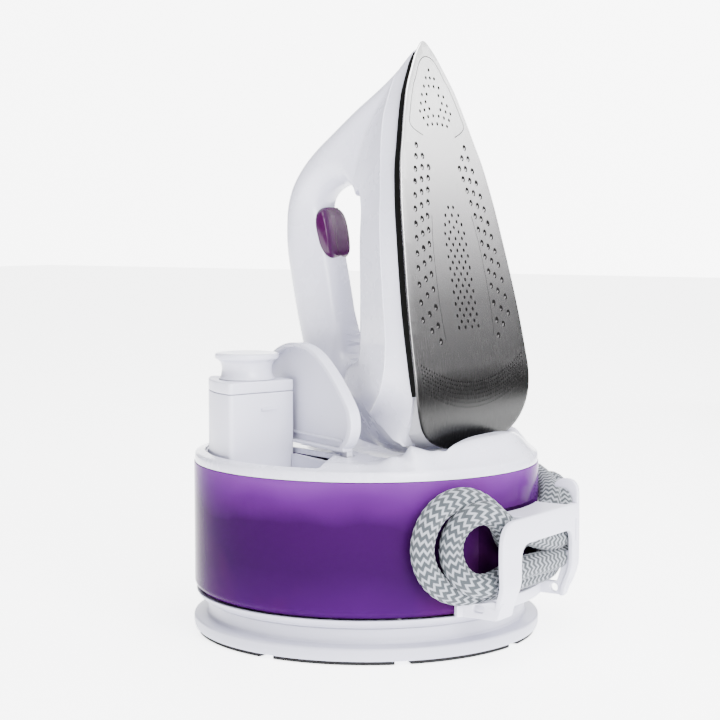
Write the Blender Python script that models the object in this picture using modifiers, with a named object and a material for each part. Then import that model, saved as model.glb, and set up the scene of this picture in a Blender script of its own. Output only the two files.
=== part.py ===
"""Compact steam generator iron: a round base with water tank, a lifted filter cartridge under an open
lid, a hose rack at the rear, and an iron that stands upright in the base's cradle.

Frame: metres, +Z up, origin at the centre of the round foot on the table. -Y is the front, where the user
stands and the iron's handle points, +Y is the rear, where the soleplate and the hose rack face.
"""
import bpy
import bmesh
from math import cos, sin, radians, degrees, atan2, hypot, pi
from mathutils import Matrix, Vector

# ---------------------------------------------------------------- driving dimensions
TANK_R = 0.100
TANK_WALL = 0.0025
TANK_BOTTOM = 0.0243
TANK_TOP = 0.0980
FOOT_R = 0.1005
FOOT_TOP = 0.0095
STEP_R = 0.0923
GAP = 0.0003
CHAMBER_R = 0.058
CHAMBER_AZ = 150.0
CHAMBER_OFF = 0.030
CHAMBER_X = CHAMBER_OFF * cos(radians(CHAMBER_AZ))
CHAMBER_Y = CHAMBER_OFF * sin(radians(CHAMBER_AZ))

COVER_R = 0.0995
COVER_BOTTOM = 0.0983
COVER_TOP = 0.1065
COVER_RIM = 0.1035
COVER_WALL = 0.0025
CRADLE_FLOOR = 0.0985
CRADLE_HALF = 0.040
CRADLE_FRONT = -0.030
CRADLE_REAR = 0.0745

LID_AZ = -25.0
LID_HINGE_R = 0.0437
LID_HINGE_Z = 0.1080
LID_THICK = 0.0025
PIN_Y = -0.0008
PIN_Z = -0.0010

CARTRIDGE_AZ = -40.5
CARTRIDGE_TOP = 0.1460
CARTRIDGE_HEIGHT = 0.0545
CARTRIDGE_OUTER_R = 0.0915
CARTRIDGE_INNER = 0.0465
CARTRIDGE_HALF = 0.0290
CARTRIDGE_NARROW = 0.0100
KNOB_AT = 0.0680

SOLE_TILT = radians(10.57)
SOLE_ORIGIN = Vector((0.0, 0.0828, 0.100))
SHELL_BASE = 0.0090
HANDLE_HALF = 0.0150
TRIGGER_PIN = (0.1565, 0.0835)

RACK_FRONT = 0.1190
RACK_FRONT_LOW = 0.1135
RACK_WALL = 0.0030
HOSE_D = 0.0130
HOSE_R = HOSE_D / 2
COIL_START_AZ = 45.0
COIL_END_AZ = 160.0
COIL_MIDDLE = 0.0630
STRAND_LOW = 0.0385
STRAND_HIGH = 0.0875

# ---------------------------------------------------------------- scene, collections, materials
for old in list(bpy.data.objects):
    bpy.data.objects.remove(old, do_unlink=True)

parts = bpy.data.collections.new("steam_generator_iron")
cutters = bpy.data.collections.new("cutters")
bpy.context.scene.collection.children.link(parts)
bpy.context.scene.collection.children.link(cutters)

WHITE = (0.80, 0.80, 0.83)
SHADE = (0.62, 0.62, 0.65)
PURPLE = (0.16, 0.06, 0.30)
TRIGGER_PURPLE = (0.07, 0.005, 0.07)
STEEL = (0.45, 0.45, 0.46)
DARK = (0.015, 0.015, 0.017)
GREEN = (0.02, 0.16, 0.06)
BRASS = (0.70, 0.50, 0.18)
HOSE_GREY = (0.45, 0.50, 0.52)


def material(name, colour, roughness, metallic):
    mat = bpy.data.materials.new(name)
    mat.use_nodes = True
    shader = mat.node_tree.nodes["Principled BSDF"]
    shader.inputs["Base Color"].default_value = (*colour, 1.0)
    shader.inputs["Roughness"].default_value = roughness
    shader.inputs["Metallic"].default_value = metallic
    return mat


def finish(obj, name, colour, roughness=0.4, metallic=0.0, parent=None):
    """Name a finished solid, give it its own material and put it in the parts collection."""
    obj.name = name
    obj.data.name = name
    obj.data.materials.clear()
    obj.data.materials.append(material(name, colour, roughness, metallic))
    for coll in list(obj.users_collection):
        coll.objects.unlink(obj)
    parts.objects.link(obj)
    if parent is not None:
        obj.parent = parent
    if hasattr(obj.data, "shade_smooth"):
        obj.data.shade_smooth()
        obj.data.set_sharp_from_angle(angle=radians(35))
    return obj


# ---------------------------------------------------------------- shape helpers
def raw(mesh_or_curve, matrix=None):
    obj = bpy.data.objects.new("raw", mesh_or_curve)
    bpy.context.scene.collection.objects.link(obj)
    if matrix is not None:
        obj.matrix_world = matrix
    return obj


def applied(obj):
    """Replace an object by the mesh that it evaluates to, with its caps welded."""
    bpy.context.view_layer.update()
    graph = bpy.context.evaluated_depsgraph_get()
    mesh = bpy.data.meshes.new_from_object(obj.evaluated_get(graph))
    bm = bmesh.new()
    bm.from_mesh(mesh)
    bmesh.ops.remove_doubles(bm, verts=bm.verts, dist=1e-6)
    bm.to_mesh(mesh)
    bm.free()
    result = raw(mesh, obj.matrix_world.copy())
    bpy.data.objects.remove(obj, do_unlink=True)
    return result


def turned(profile, steps=48, matrix=None):
    """Revolve (radius, z) points, listed down the outer side, about the local Z axis."""
    mesh = bpy.data.meshes.new("profile")
    closed = profile[0][0] > 1e-9
    count = len(profile)
    edges = [(i, i + 1) for i in range(count - 1)]
    if closed:
        edges.append((count - 1, 0))
    mesh.from_pydata([(r, 0.0, z) for r, z in profile], edges, [])
    obj = raw(mesh, matrix)
    screw = obj.modifiers.new("turn", "SCREW")
    screw.steps = steps
    screw.render_steps = steps
    screw.use_merge_vertices = True
    screw.merge_threshold = 0.00001
    return applied(obj)


def slab(outline, low, high, matrix=None, holes=(), bevel=0.0, segments=2):
    """A flat outline in local XY, from local z = low to z = high, with optional holes and round edges."""
    curve = bpy.data.curves.new("outline", "CURVE")
    curve.dimensions = "2D"
    curve.fill_mode = "BOTH"
    curve.extrude = (high - low) / 2
    for ring in (outline, *holes):
        spline = curve.splines.new("POLY")
        spline.points.add(len(ring) - 1)
        for point, (x, y) in zip(spline.points, ring):
            point.co = (x, y, 0.0, 1.0)
        spline.use_cyclic_u = True
    base = matrix if matrix is not None else Matrix.Identity(4)
    obj = applied(raw(curve, base @ Matrix.Translation((0, 0, (low + high) / 2))))
    if bevel > 0:
        round_edges(obj, bevel, segments)
        obj = applied(obj)
    return obj


def round_edges(obj, width, segments=2, angle=40):
    edge = obj.modifiers.new("round", "BEVEL")
    edge.width = width
    edge.segments = segments
    edge.limit_method = "ANGLE"
    edge.angle_limit = radians(angle)


def box(low, high, matrix=None, bevel=0.0):
    bm = bmesh.new()
    bmesh.ops.create_cube(bm, size=1.0)
    size = [b - a for a, b in zip(low, high)]
    centre = [(a + b) / 2 for a, b in zip(low, high)]
    bmesh.ops.scale(bm, vec=size, verts=bm.verts)
    bmesh.ops.translate(bm, vec=centre, verts=bm.verts)
    mesh = bpy.data.meshes.new("box")
    bm.to_mesh(mesh)
    bm.free()
    obj = raw(mesh, matrix)
    if bevel > 0:
        round_edges(obj, bevel)
        obj = applied(obj)
    return obj


def rod(radius, start, end, sides=20, radius_end=None):
    """A cylinder or cone between two points."""
    a, b = Vector(start), Vector(end)
    bm = bmesh.new()
    bmesh.ops.create_cone(bm, cap_ends=True, segments=sides, radius1=radius,
                          radius2=radius if radius_end is None else radius_end, depth=(b - a).length)
    mesh = bpy.data.meshes.new("rod")
    bm.to_mesh(mesh)
    bm.free()
    turn = (b - a).to_track_quat("Z", "Y").to_matrix().to_4x4()
    return raw(mesh, Matrix.Translation((a + b) / 2) @ turn)


def tube(points, radius, resolution=2):
    curve = bpy.data.curves.new("path", "CURVE")
    curve.dimensions = "3D"
    curve.bevel_depth = radius
    curve.bevel_resolution = resolution
    curve.use_fill_caps = True
    spline = curve.splines.new("POLY")
    spline.points.add(len(points) - 1)
    for point, place in zip(spline.points, points):
        point.co = (*place, 1.0)
    return applied(raw(curve))


def loft(rings):
    """A closed solid through rings with equal point counts; first and last rings are capped."""
    bm = bmesh.new()
    loops = [[bm.verts.new(place) for place in ring] for ring in rings]
    count = len(rings[0])
    for lower, upper in zip(loops, loops[1:]):
        for i in range(count):
            j = (i + 1) % count
            bm.faces.new((lower[i], lower[j], upper[j], upper[i]))
    bm.faces.new(loops[0][::-1])
    bm.faces.new(loops[-1])
    bmesh.ops.recalc_face_normals(bm, faces=bm.faces)
    mesh = bpy.data.meshes.new("loft")
    bm.to_mesh(mesh)
    bm.free()
    return raw(mesh)


def combine(obj, other, operation="DIFFERENCE"):
    """Cut the other solid out of this one, or join it to it, and drop the other."""
    for coll in list(other.users_collection):
        coll.objects.unlink(other)
    cutters.objects.link(other)
    other.hide_render = True
    other.display_type = "WIRE"
    mod = obj.modifiers.new("boolean", "BOOLEAN")
    mod.operation = operation
    mod.object = other
    result = applied(obj)
    bpy.data.objects.remove(other, do_unlink=True)
    return result


def join(obj, other):
    return combine(obj, other, "UNION")


def arc(radius, start, end, count, centre=(0.0, 0.0)):
    """Points on a circle from one azimuth to another, in degrees."""
    angles = [radians(start + (end - start) * i / (count - 1)) for i in range(count)]
    return [(centre[0] + radius * cos(a), centre[1] + radius * sin(a)) for a in angles]


def round_corners(corners, radius, count=4):
    """A closed outline whose corners are replaced by short curves that start a radius away from them."""
    points = []
    total = len(corners)
    for i, corner in enumerate(corners):
        here = Vector(corner)
        before = (Vector(corners[i - 1]) - here)
        after = (Vector(corners[(i + 1) % total]) - here)
        reach = min(radius, before.length * 0.45, after.length * 0.45)
        p0 = here + before.normalized() * reach
        p2 = here + after.normalized() * reach
        for k in range(count):
            u = k / (count - 1)
            points.append(tuple(p0 * (1 - u) ** 2 + here * 2 * u * (1 - u) + p2 * u ** 2))
    return points


def blend_between(table, x):
    """Smooth interpolation in a short table of (x, value)."""
    if x <= table[0][0]:
        return table[0][1]
    for (x0, v0), (x1, v1) in zip(table, table[1:]):
        if x <= x1:
            u = (x - x0) / (x1 - x0)
            return v0 + (v1 - v0) * u * u * (3 - 2 * u)
    return table[-1][1]


def ramp(x, low, high):
    u = min(1.0, max(0.0, (x - low) / (high - low)))
    return u * u * (3 - 2 * u)


def frame_matrix(origin, x_axis, y_axis, z_axis):
    turn = Matrix((x_axis, y_axis, z_axis)).transposed().to_4x4()
    return Matrix.Translation(origin) @ turn


def radial_frame(azimuth, distance, height):
    """Local X points outward along the azimuth, local Y is tangential, local Z is up."""
    a = radians(azimuth)
    return Matrix.Translation((distance * cos(a), distance * sin(a), height)) @ Matrix.Rotation(a, 4, "Z")


def led_path(points, step):
    """A smooth path whose two end faces stand square to the first and last legs."""
    places = [Vector(p) for p in points]
    first = (places[1] - places[0]).normalized() * 0.0015
    last = (places[-2] - places[-1]).normalized() * 0.0015
    inner = [places[0] + first, *places[1:-1], places[-1] + last]
    return [places[0], *smooth_path(inner, step), places[-1]]


def smooth_path(points, step):
    """Points a fixed step apart on a Catmull-Rom curve through hand-placed points."""
    places = [Vector(p) for p in points]
    ends = [2 * places[0] - places[1], *places, 2 * places[-1] - places[-2]]
    fine = []
    for a, b, c, d in zip(ends, ends[1:], ends[2:], ends[3:]):
        for k in range(12):
            u = k / 12
            fine.append(0.5 * (2 * b + (c - a) * u + (2 * a - 5 * b + 4 * c - d) * u * u
                               + (3 * b - a - 3 * c + d) * u ** 3))
    fine.append(places[-1])
    total = sum((q - p).length for p, q in zip(fine, fine[1:]))
    count = max(3, round(total / step))
    result = [fine[0]]
    walked, target = 0.0, total / count
    for p, q in zip(fine, fine[1:]):
        length = (q - p).length
        while walked + length >= target and len(result) < count:
            result.append(p.lerp(q, (target - walked) / length))
            target += total / count
        walked += length
    result.append(fine[-1])
    return result


# ---------------------------------------------------------------- foot and base tub
def make_foot():
    plate = turned([(0.0, 0.0183), (STEP_R, 0.0183), (STEP_R, 0.0113),
                    (STEP_R + 0.0006, FOOT_TOP + 0.0003),
                    (FOOT_R - 0.0020, FOOT_TOP), (FOOT_R, FOOT_TOP - 0.0020), (FOOT_R, 0.0035),
                    (FOOT_R - 0.0012, 0.0020), (0.0905, 0.0020), (0.0900, 0.0012), (0.0, 0.0012)], 72)
    finish(plate, "foot_plate", WHITE)
    for index in range(8):
        middle = 22.5 + 45 * index
        ring = arc(0.0985, middle - 20, middle + 20, 8) + arc(0.0920, middle + 20, middle - 20, 8)
        finish(slab(ring, 0.0, 0.0017), f"rubber_foot_{index + 1}", DARK, 0.8)


def make_base_tub():
    """White tray between foot and tank; it carries the heater and pump inside the dry chamber."""
    tub = turned([(0.0, 0.0215), (0.0950, 0.0215), (0.0968, 0.0240), (0.0990, 0.0240), (0.0960, 0.0200),
                  (0.0936, 0.0187), (0.0, 0.0187)], 72)
    finish(tub, "base_tub", SHADE)
    for index in range(4):
        screw = rod(0.0028, place_around(0.085, 45 + 90 * index, 0.0217),
                    place_around(0.085, 45 + 90 * index, 0.0238), 12)
        finish(screw, f"tub_screw_{index + 1}", STEEL, 0.3, 1.0)


def place_around(radius, azimuth, z):
    a = radians(azimuth)
    return (radius * cos(a), radius * sin(a), z)


# ---------------------------------------------------------------- water tank and what is in the dry chamber
REAR_POCKET_HALF = 0.034
REAR_POCKET_Y = 0.0940
REAR_POCKET_TOP = 0.0790


def make_tank():
    """One open trough: round wall, floor, and the wall of the dry chamber; pocket for the hose behind."""
    bottom, top = TANK_BOTTOM, TANK_TOP
    tank = turned([(0.0, top), (TANK_R, top), (TANK_R, bottom + 0.004),
                   (TANK_R - 0.0015, bottom + 0.0012),
                   (TANK_R - 0.004, bottom), (0.0, bottom)], 72)
    tank = combine(tank, box((-REAR_POCKET_HALF, REAR_POCKET_Y, bottom - 0.01),
                             (REAR_POCKET_HALF, 0.12, REAR_POCKET_TOP)))
    water = turned([(0.0, top + 0.01), (TANK_R - TANK_WALL, top + 0.01),
                    (TANK_R - TANK_WALL, bottom + 0.005),
                    (TANK_R - 0.0050, bottom + 0.0028), (0.0, bottom + 0.0028)], 72)
    water = combine(water, box((-REAR_POCKET_HALF - TANK_WALL, REAR_POCKET_Y - TANK_WALL, bottom - 0.01),
                               (REAR_POCKET_HALF + TANK_WALL, 0.12, REAR_POCKET_TOP + TANK_WALL)))
    water = combine(water, rod(CHAMBER_R + 0.002, (CHAMBER_X, CHAMBER_Y, 0.0),
                               (CHAMBER_X, CHAMBER_Y, 0.12), 48))
    tank = combine(tank, water)
    tank = combine(tank, rod(CHAMBER_R, (CHAMBER_X, CHAMBER_Y, 0.0), (CHAMBER_X, CHAMBER_Y, 0.12), 48))
    tank = combine(tank, box((-0.055, -0.040, 0.0920), (0.055, 0.0790, 0.12)))
    finish(tank, "water_tank", PURPLE, 0.15)


def make_machinery():
    """Steam boiler, pump, valve, pipes and control board on the tub floor."""
    floor = 0.0218
    cx, cy = CHAMBER_X, CHAMBER_Y
    boiler = turned([(0.0, 0.084), (0.024, 0.084), (0.027, 0.080), (0.027, 0.030), (0.024, 0.0265),
                     (0.0, 0.0265)],
                    32, Matrix.Translation((cx - 0.019, cy + 0.015, 0.0)))
    finish(boiler, "boiler", (0.65, 0.66, 0.68), 0.35, 1.0)
    stand = turned([(0.020, 0.0262), (0.025, 0.0262), (0.025, floor), (0.020, floor)], 32,
                   Matrix.Translation((cx - 0.019, cy + 0.015, 0.0)))
    finish(stand, "boiler_stand", SHADE, 0.6)
    element = turned([(0.0272, 0.062), (0.0305, 0.062), (0.0305, 0.044), (0.0272, 0.044)], 32,
                     Matrix.Translation((cx - 0.019, cy + 0.015, 0.0)))
    finish(element, "heater_band", (0.30, 0.25, 0.20), 0.5, 0.8)
    pump = box((cx + 0.012, cy - 0.040, floor), (cx + 0.040, cy - 0.008, floor + 0.026), None, 0.002)
    pump = join(pump, rod(0.010, (cx + 0.026, cy - 0.024, floor + 0.020),
                          (cx + 0.026, cy - 0.024, floor + 0.046)))
    finish(pump, "pump", DARK, 0.5)
    feed = tube(smooth_path([(cx + 0.026, cy - 0.024, 0.0681), (cx + 0.026, cy - 0.024, 0.0720),
                             (cx + 0.024, cy - 0.020, 0.080),
                             (cx + 0.012, cy - 0.008, 0.0865), (cx - 0.004, cy + 0.008, 0.0885),
                             (cx - 0.019, cy + 0.015, 0.0880),
                             (cx - 0.019, cy + 0.015, 0.0865), (cx - 0.019, cy + 0.015,
                                                                0.0846)], 0.006), 0.0025)
    finish(feed, "pump_tube", (0.75, 0.75, 0.70), 0.5)
    valve = box((cx - 0.034, cy - 0.034, floor), (cx - 0.016, cy - 0.016, floor + 0.030), None, 0.0015)
    finish(valve, "steam_valve", BRASS, 0.3, 1.0)
    board = box((cx + 0.020, cy + 0.002, floor + 0.003), (cx + 0.0216, cy + 0.040, floor + 0.055))
    board = join(board, box((cx + 0.0215, cy + 0.008, floor + 0.012),
                            (cx + 0.030, cy + 0.024, floor + 0.030)))
    finish(board, "control_board", GREEN, 0.5)


# ---------------------------------------------------------------- top cover, well and lid
CREST_BY_AZIMUTH = [(36, 0.0), (46, 0.0020), (50, 0.0085), (57, 0.0065), (63, 0.0105), (70, 0.0130),
                    (76, 0.0140)]


def cover_height(x, y):
    """Top surface of the cover: round shoulder, raised wave at the rear, sunk cradle for the heel."""
    r = hypot(x, y)
    azimuth = degrees(atan2(y, x))
    if azimuth < -90:
        azimuth += 360
    off_rear = 90 - abs(azimuth - 90)
    z = COVER_TOP - (COVER_TOP - COVER_RIM) * ramp(r, 0.086, COVER_R)
    crest = blend_between(CREST_BY_AZIMUTH, off_rear)
    inner = ramp(y, CRADLE_REAR, CRADLE_REAR + 0.0040) if abs(x) < 0.052 else ramp(r, 0.078, 0.087)
    z += crest * inner * (1 - ramp(r, 0.0880, COVER_R + 0.0005))
    sunk = ramp(y, CRADLE_FRONT, CRADLE_FRONT + 0.006) * (1 - ramp(y, CRADLE_REAR - 0.004, CRADLE_REAR))
    past_hinge = x * cos(radians(LID_AZ)) + y * sin(radians(LID_AZ)) - LID_HINGE_R
    sunk *= (1 - ramp(abs(x), CRADLE_HALF, CRADLE_HALF + 0.005)) * (1 - ramp(past_hinge, -0.0130,
                                                                             -0.0080))
    return z + (CRADLE_FLOOR - z) * sunk


def cover_ring(radius, offset=0.0, count=72):
    ring = []
    for i in range(count):
        a = 2 * pi * i / count
        x, y = radius * cos(a), radius * sin(a)
        ring.append((x, y, cover_height(x, y) + offset))
    return ring


def flat_ring(radius, z, count=72):
    return [place_around(radius, 360 * i / count, z) for i in range(count)]


LID_N = Vector((cos(radians(LID_AZ)), sin(radians(LID_AZ)), 0.0))
LID_D = Vector((-sin(radians(LID_AZ)), cos(radians(LID_AZ)), 0.0))
LID_FRAME = frame_matrix(LID_N * LID_HINGE_R + Vector((0, 0, LID_HINGE_Z)), LID_D, Vector((0, 0, 1)),
                         LID_N)
PLAN_FRAME = frame_matrix(LID_N * LID_HINGE_R, LID_D, -LID_N, Vector((0, 0, 1)))


def opening_outline(inset):
    """Sector-shaped filling opening in plan: x along the hinge line, y negative away from it."""
    outer = 0.0935 - inset
    side = radians(43.0)
    reach = 0.0014 + inset
    near = (LID_HINGE_R + reach) * 0.93 - inset
    left = [(outer * sin(-a), LID_HINGE_R - outer * cos(a)) for a in
            [side - 2 * side * i / 14 for i in range(15)]]
    return [(near, -reach), *[(x, y) for x, y in reversed(left)], (-near, -reach)]


def make_cover():
    radii = [0.004, 0.020, 0.032, 0.042, 0.047, 0.052, 0.060, 0.068, 0.0735, 0.0765, 0.0790, 0.082, 0.085,
             0.088,
             0.091, 0.094, 0.097]
    top = [cover_ring(r) for r in radii]
    under = [cover_ring(r, -COVER_WALL) for r in reversed(radii[:-1])]
    rim = [flat_ring(COVER_R - 0.0004, COVER_RIM), flat_ring(COVER_R, COVER_RIM - 0.0008),
           flat_ring(COVER_R, COVER_BOTTOM), flat_ring(0.0955, COVER_BOTTOM)]
    cover = loft([*top, *rim, *under])
    cover = combine(cover, slab(round_corners(opening_outline(0.0), 0.004, 3), 0.05, 0.15, PLAN_FRAME))
    hinge_end = LID_FRAME @ Vector((0.0, 0.0, 0.0))
    for side in (-1, 1):
        seat = LID_D * (side * 0.049)
        slot = box((hinge_end + seat + Vector((-0.0046, -0.0046, -0.0070)))[:],
                   (hinge_end + seat + Vector((0.0046, 0.0046, 0.02)))[:])
        cover = combine(cover, slot)
    for index in range(2):
        place = place_around(0.080, BUTTON_AZ[index], 0.0)
        cover = combine(cover, rod(0.0068, (place[0], place[1], 0.09), (place[0], place[1], 0.12), 24))
    lens = place_around(0.0800, LENS_AZ, 0.0)
    cover = combine(cover, rod(0.0021, (lens[0], lens[1], 0.09), (lens[0], lens[1], 0.12), 12))
    finish(cover, "top_cover", WHITE, 0.3)


def make_well():
    """Tray in the opening: its rim seats the lid, its floor has the cartridge's shaft and filling holes."""
    floor = 0.0880
    well = slab(round_corners(opening_outline(0.0005), 0.004, 3), floor, 0.1035, PLAN_FRAME)
    well = combine(well, slab(round_corners(opening_outline(0.0036), 0.006, 3), floor + 0.002, 0.11,
                              PLAN_FRAME))
    shaft = slab(cartridge_outline(0.0010), 0.05, 0.12, radial_frame(CARTRIDGE_AZ, 0, 0))
    well = combine(well, shaft)
    for azimuth in (-4, 4, 12):
        well = combine(well, rod(0.0035, place_around(0.082, azimuth, 0.08),
                                 place_around(0.082, azimuth, 0.10), 16))
    finish(well, "filling_well", WHITE, 0.35)


def lid_outline():
    """Lid in its own plane: x along the hinge, y away from it; wide round outer edge and swept corners."""
    right = [(0.0445, 0.0020), (0.0535, 0.0040), (0.0592, 0.0082), (0.0622, 0.0140), (0.0620, 0.0200),
             (0.0590, 0.0255), (0.0493, 0.0345), (0.0385, 0.0427), (0.0240, 0.0510), (0.0085, 0.0552)]
    return right + [(-x, y) for x, y in reversed(right)]


def make_lid(lid_empty):
    lid = slab(lid_outline(), -LID_THICK - 0.0005, -0.0005)
    rib = slab([(x * 0.93, 0.004 + (y - 0.004) * 0.93) for x, y in lid_outline()], -0.0012, 0.0008, None,
               [[(x * 0.90, 0.005 + (y - 0.005) * 0.90) for x, y in lid_outline()]])
    lid = join(lid, rib)
    for side in (-1, 1):
        lug = box((side * 0.049 - 0.0030, -0.0030, -0.0030), (side * 0.049 + 0.0030, 0.0060, 0.0005),
                  None, 0.0004)
        lid = join(lid, lug)
        lid = combine(lid, rod(0.0013, (side * 0.049 - 0.01, PIN_Y, PIN_Z),
                               (side * 0.049 + 0.01, PIN_Y, PIN_Z), 12))
    lid.data.transform(Matrix.Translation((0, -PIN_Y, -PIN_Z)) @ lid.matrix_world)
    lid.matrix_world = Matrix.Identity(4)
    finish(lid, "lid", WHITE, 0.3, parent=lid_empty)
    for index, side in enumerate((-1, 1)):
        pin = rod(0.0011, LID_FRAME @ Vector((side * 0.049 - 0.0044, PIN_Y, PIN_Z)),
                  LID_FRAME @ Vector((side * 0.049 + 0.0044, PIN_Y, PIN_Z)), 12)
        finish(pin, f"lid_pin_{index + 1}", STEEL, 0.3, 1.0)


# ---------------------------------------------------------------- filter cartridge
def cartridge_outline(grow=0.0):
    """Wedge in plan: x outward from the centre, y tangential; round outer face, narrow inner end."""
    outer = CARTRIDGE_OUTER_R + grow
    half = CARTRIDGE_HALF + grow
    narrow = CARTRIDGE_NARROW + grow
    span = degrees(atan2(half, outer))
    face = [(x - 0.0012 * abs(y / half) ** 4, y) for x, y in arc(outer, -span, span, 9)]
    slope = (half - narrow) / (outer * cos(radians(span)) - CARTRIDGE_INNER)
    lean = radians(LID_AZ - CARTRIDGE_AZ)
    start = LID_HINGE_R + 0.0027 - grow
    inner = []
    for side in (-1, 1):
        reach = start - side * (narrow - slope * CARTRIDGE_INNER) * sin(lean)
        x = reach / (cos(lean) + side * slope * sin(lean))
        inner.append((x, side * (narrow + slope * (x - CARTRIDGE_INNER))))
    return [inner[0], *face, inner[1]]


def make_cartridge(cartridge_empty):
    top = CARTRIDGE_TOP
    bottom = top - CARTRIDGE_HEIGHT
    wedge = radial_frame(CARTRIDGE_AZ, 0, 0)
    case = slab(round_corners(cartridge_outline(), 0.0022, 3), bottom, top - 0.0068, wedge)
    case = combine(case, slab(cartridge_outline(-0.0025), bottom + 0.003, top, wedge))
    for offset in (-0.012, 0.0, 0.012):
        at = wedge @ Vector((KNOB_AT, offset, 0))
        case = combine(case, rod(0.003, (at.x, at.y, bottom - 0.01), (at.x, at.y, bottom + 0.01), 12))
    granules = slab(cartridge_outline(-0.0030), bottom + 0.0035, top - 0.0100, wedge)
    cap = slab(round_corners(cartridge_outline(), 0.0022, 3), top - 0.0065, top, wedge, (), 0.0008, 1)
    knob_at = wedge @ Vector((KNOB_AT, 0, 0))
    spool = turned([(0.0, top + 0.0180), (0.0165, top + 0.0180), (0.0190, top + 0.0165),
                    (0.0190, top + 0.0145),
                    (0.0150, top + 0.0120), (0.0140, top + 0.0070), (0.0150, top + 0.0015), (0.0165,
                                                                                             top + GAP),
                    (0.0, top + GAP)], 32, Matrix.Translation((knob_at.x, knob_at.y, 0)))
    for obj, name, colour, rough in ((case, "cartridge_case", WHITE, 0.35),
                                     (cap, "cartridge_cap", WHITE, 0.35),
                                     (granules, "filter_granules", (0.45, 0.30, 0.12), 0.8),
                                     (spool, "cartridge_knob", WHITE, 0.3)):
        obj.data.transform(obj.matrix_world)
        obj.matrix_world = Matrix.Identity(4)
        obj.data.transform(cartridge_empty.matrix_world.inverted())
        finish(obj, name, colour, rough, parent=cartridge_empty)


# ---------------------------------------------------------------- rear rack
def make_rack():
    """Bridge for the wound hose: root band on the tank, two arms, a window frame, a shelf and a hook."""
    low, high = 0.0243, 0.0310
    band = slab(arc(0.1032, 61, 117, 15) + arc(0.1003, 117, 61, 15), low, high)
    arms = []
    for x, side in ((0.0445, 1), (-0.0340, -1)):
        arm = box((x - 0.0015, 0.0890 if side > 0 else 0.0945, low), (x + 0.0015, 0.1165, high + 0.0045))
        arms.append(arm)
    rack = join(join(band, arms[0]), arms[1])
    rack = combine(rack, rod(0.1003, (0, 0, 0), (0, 0, 0.2), 72))
    outer = round_corners([(0.0455, low), (0.0505, 0.0480), (0.0500, 0.0773), (-0.0395, 0.0773),
                           (-0.0395, 0.0330),
                           (-0.0350, low)], 0.016, 5)
    window = round_corners([(0.0285, 0.0225), (0.0285, 0.0630), (-0.0310, 0.0630), (-0.0310, 0.0225)],
                           0.008, 4)
    upright = frame_matrix(Vector((0, RACK_FRONT, 0)), Vector((1, 0, 0)), Vector((0, 0, 1)),
                           Vector((0, -1, 0)))
    frame = slab(outer, 0.0, RACK_WALL, upright)
    frame = combine(frame, slab(window, -0.01, 0.01, upright))
    lean = frame.data
    for vertex in lean.vertices:
        drop = ramp(0.045 - vertex.co.y, 0.0, 0.045 - low)
        vertex.co.z += (RACK_FRONT - RACK_FRONT_LOW) * drop
    rack = join(rack, frame)
    shelf = slab([(0.0260, 0.1165), (0.0260, 0.0975), *arc(0.1003, 75, 106, 9), (-0.0270, 0.1165)],
                 0.0747, 0.0773)
    rack = join(rack, shelf)
    side_wall = frame_matrix(Vector((-0.0365, 0, 0)), Vector((0, 1, 0)), Vector((0, 0, 1)),
                             Vector((1, 0, 0)))
    hook = slab([(0.1188, 0.0700), (0.1188, 0.0850), (0.1165, 0.0892), (0.1120, 0.0905), (0.1050, 0.0898),
                 (0.1015, 0.0870), (0.1020, 0.0852), (0.1100, 0.0848), (0.1140, 0.0815), (0.1150,
                                                                                          0.0700)],
                -0.0029, 0.0, side_wall)
    rack = join(rack, hook)
    finish(rack, "hose_rack", WHITE, 0.35)


# ---------------------------------------------------------------- buttons and inlets
BUTTON_AZ = (-97.0, -113.0)
LENS_AZ = -105.0


def make_controls():
    for index, name in enumerate(("power_button", "eco_button")):
        place = place_around(0.080, BUTTON_AZ[index], 0.0)
        cap = turned([(0.0, 0.1083), (0.0045, 0.1082), (0.0062, 0.1070), (0.0062, 0.1015), (0.0, 0.1015)],
                     20,
                     Matrix.Translation(place))
        finish(cap, name, SHADE, 0.3)
        switch = box((place[0] - 0.003, place[1] - 0.003, 0.0930),
                     (place[0] + 0.003, place[1] + 0.003, 0.0985))
        finish(switch, name.replace("button", "switch"), DARK, 0.5)
    lens = place_around(0.0800, LENS_AZ, 0.0)
    finish(rod(0.0018, (lens[0], lens[1], 0.1000), (lens[0], lens[1], 0.1070), 12), "status_lens",
           (0.75, 0.35, 0.10), 0.2)


HOSE_GLAND = radial_frame(181.0, 0.1084, STRAND_LOW)
MAINS_GLAND = radial_frame(197.0, 0.1084, STRAND_LOW - 0.004)


def make_inlets():
    """Hose gland and mains lead gland on the tank's side, each leaving along the round wall."""
    for name, frame, radius, way in (("hose_gland", HOSE_GLAND, 0.0084, -1),
                                     ("mains_gland", MAINS_GLAND, 0.0050, 1)):
        boss = box((-0.0120, -0.008, -0.0090), (0.0090, 0.008, 0.0090), frame, 0.002)
        boss = combine(boss, rod(TANK_R + 0.0003, (0, 0, 0), (0, 0, 0.2), 72))
        sleeve = rod(radius, frame @ Vector((0, 0.006 * way, 0)), frame @ Vector((0, 0.019 * way, 0)), 20,
                     radius * 0.86)
        finish(join(boss, sleeve), name, WHITE if name == "hose_gland" else DARK, 0.5)


# ---------------------------------------------------------------- iron
IRON_FRAME = frame_matrix(SOLE_ORIGIN, Vector((1, 0, 0)), Vector((0, -sin(SOLE_TILT), cos(SOLE_TILT))),
                          Vector((0, -cos(SOLE_TILT), -sin(SOLE_TILT))))
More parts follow.
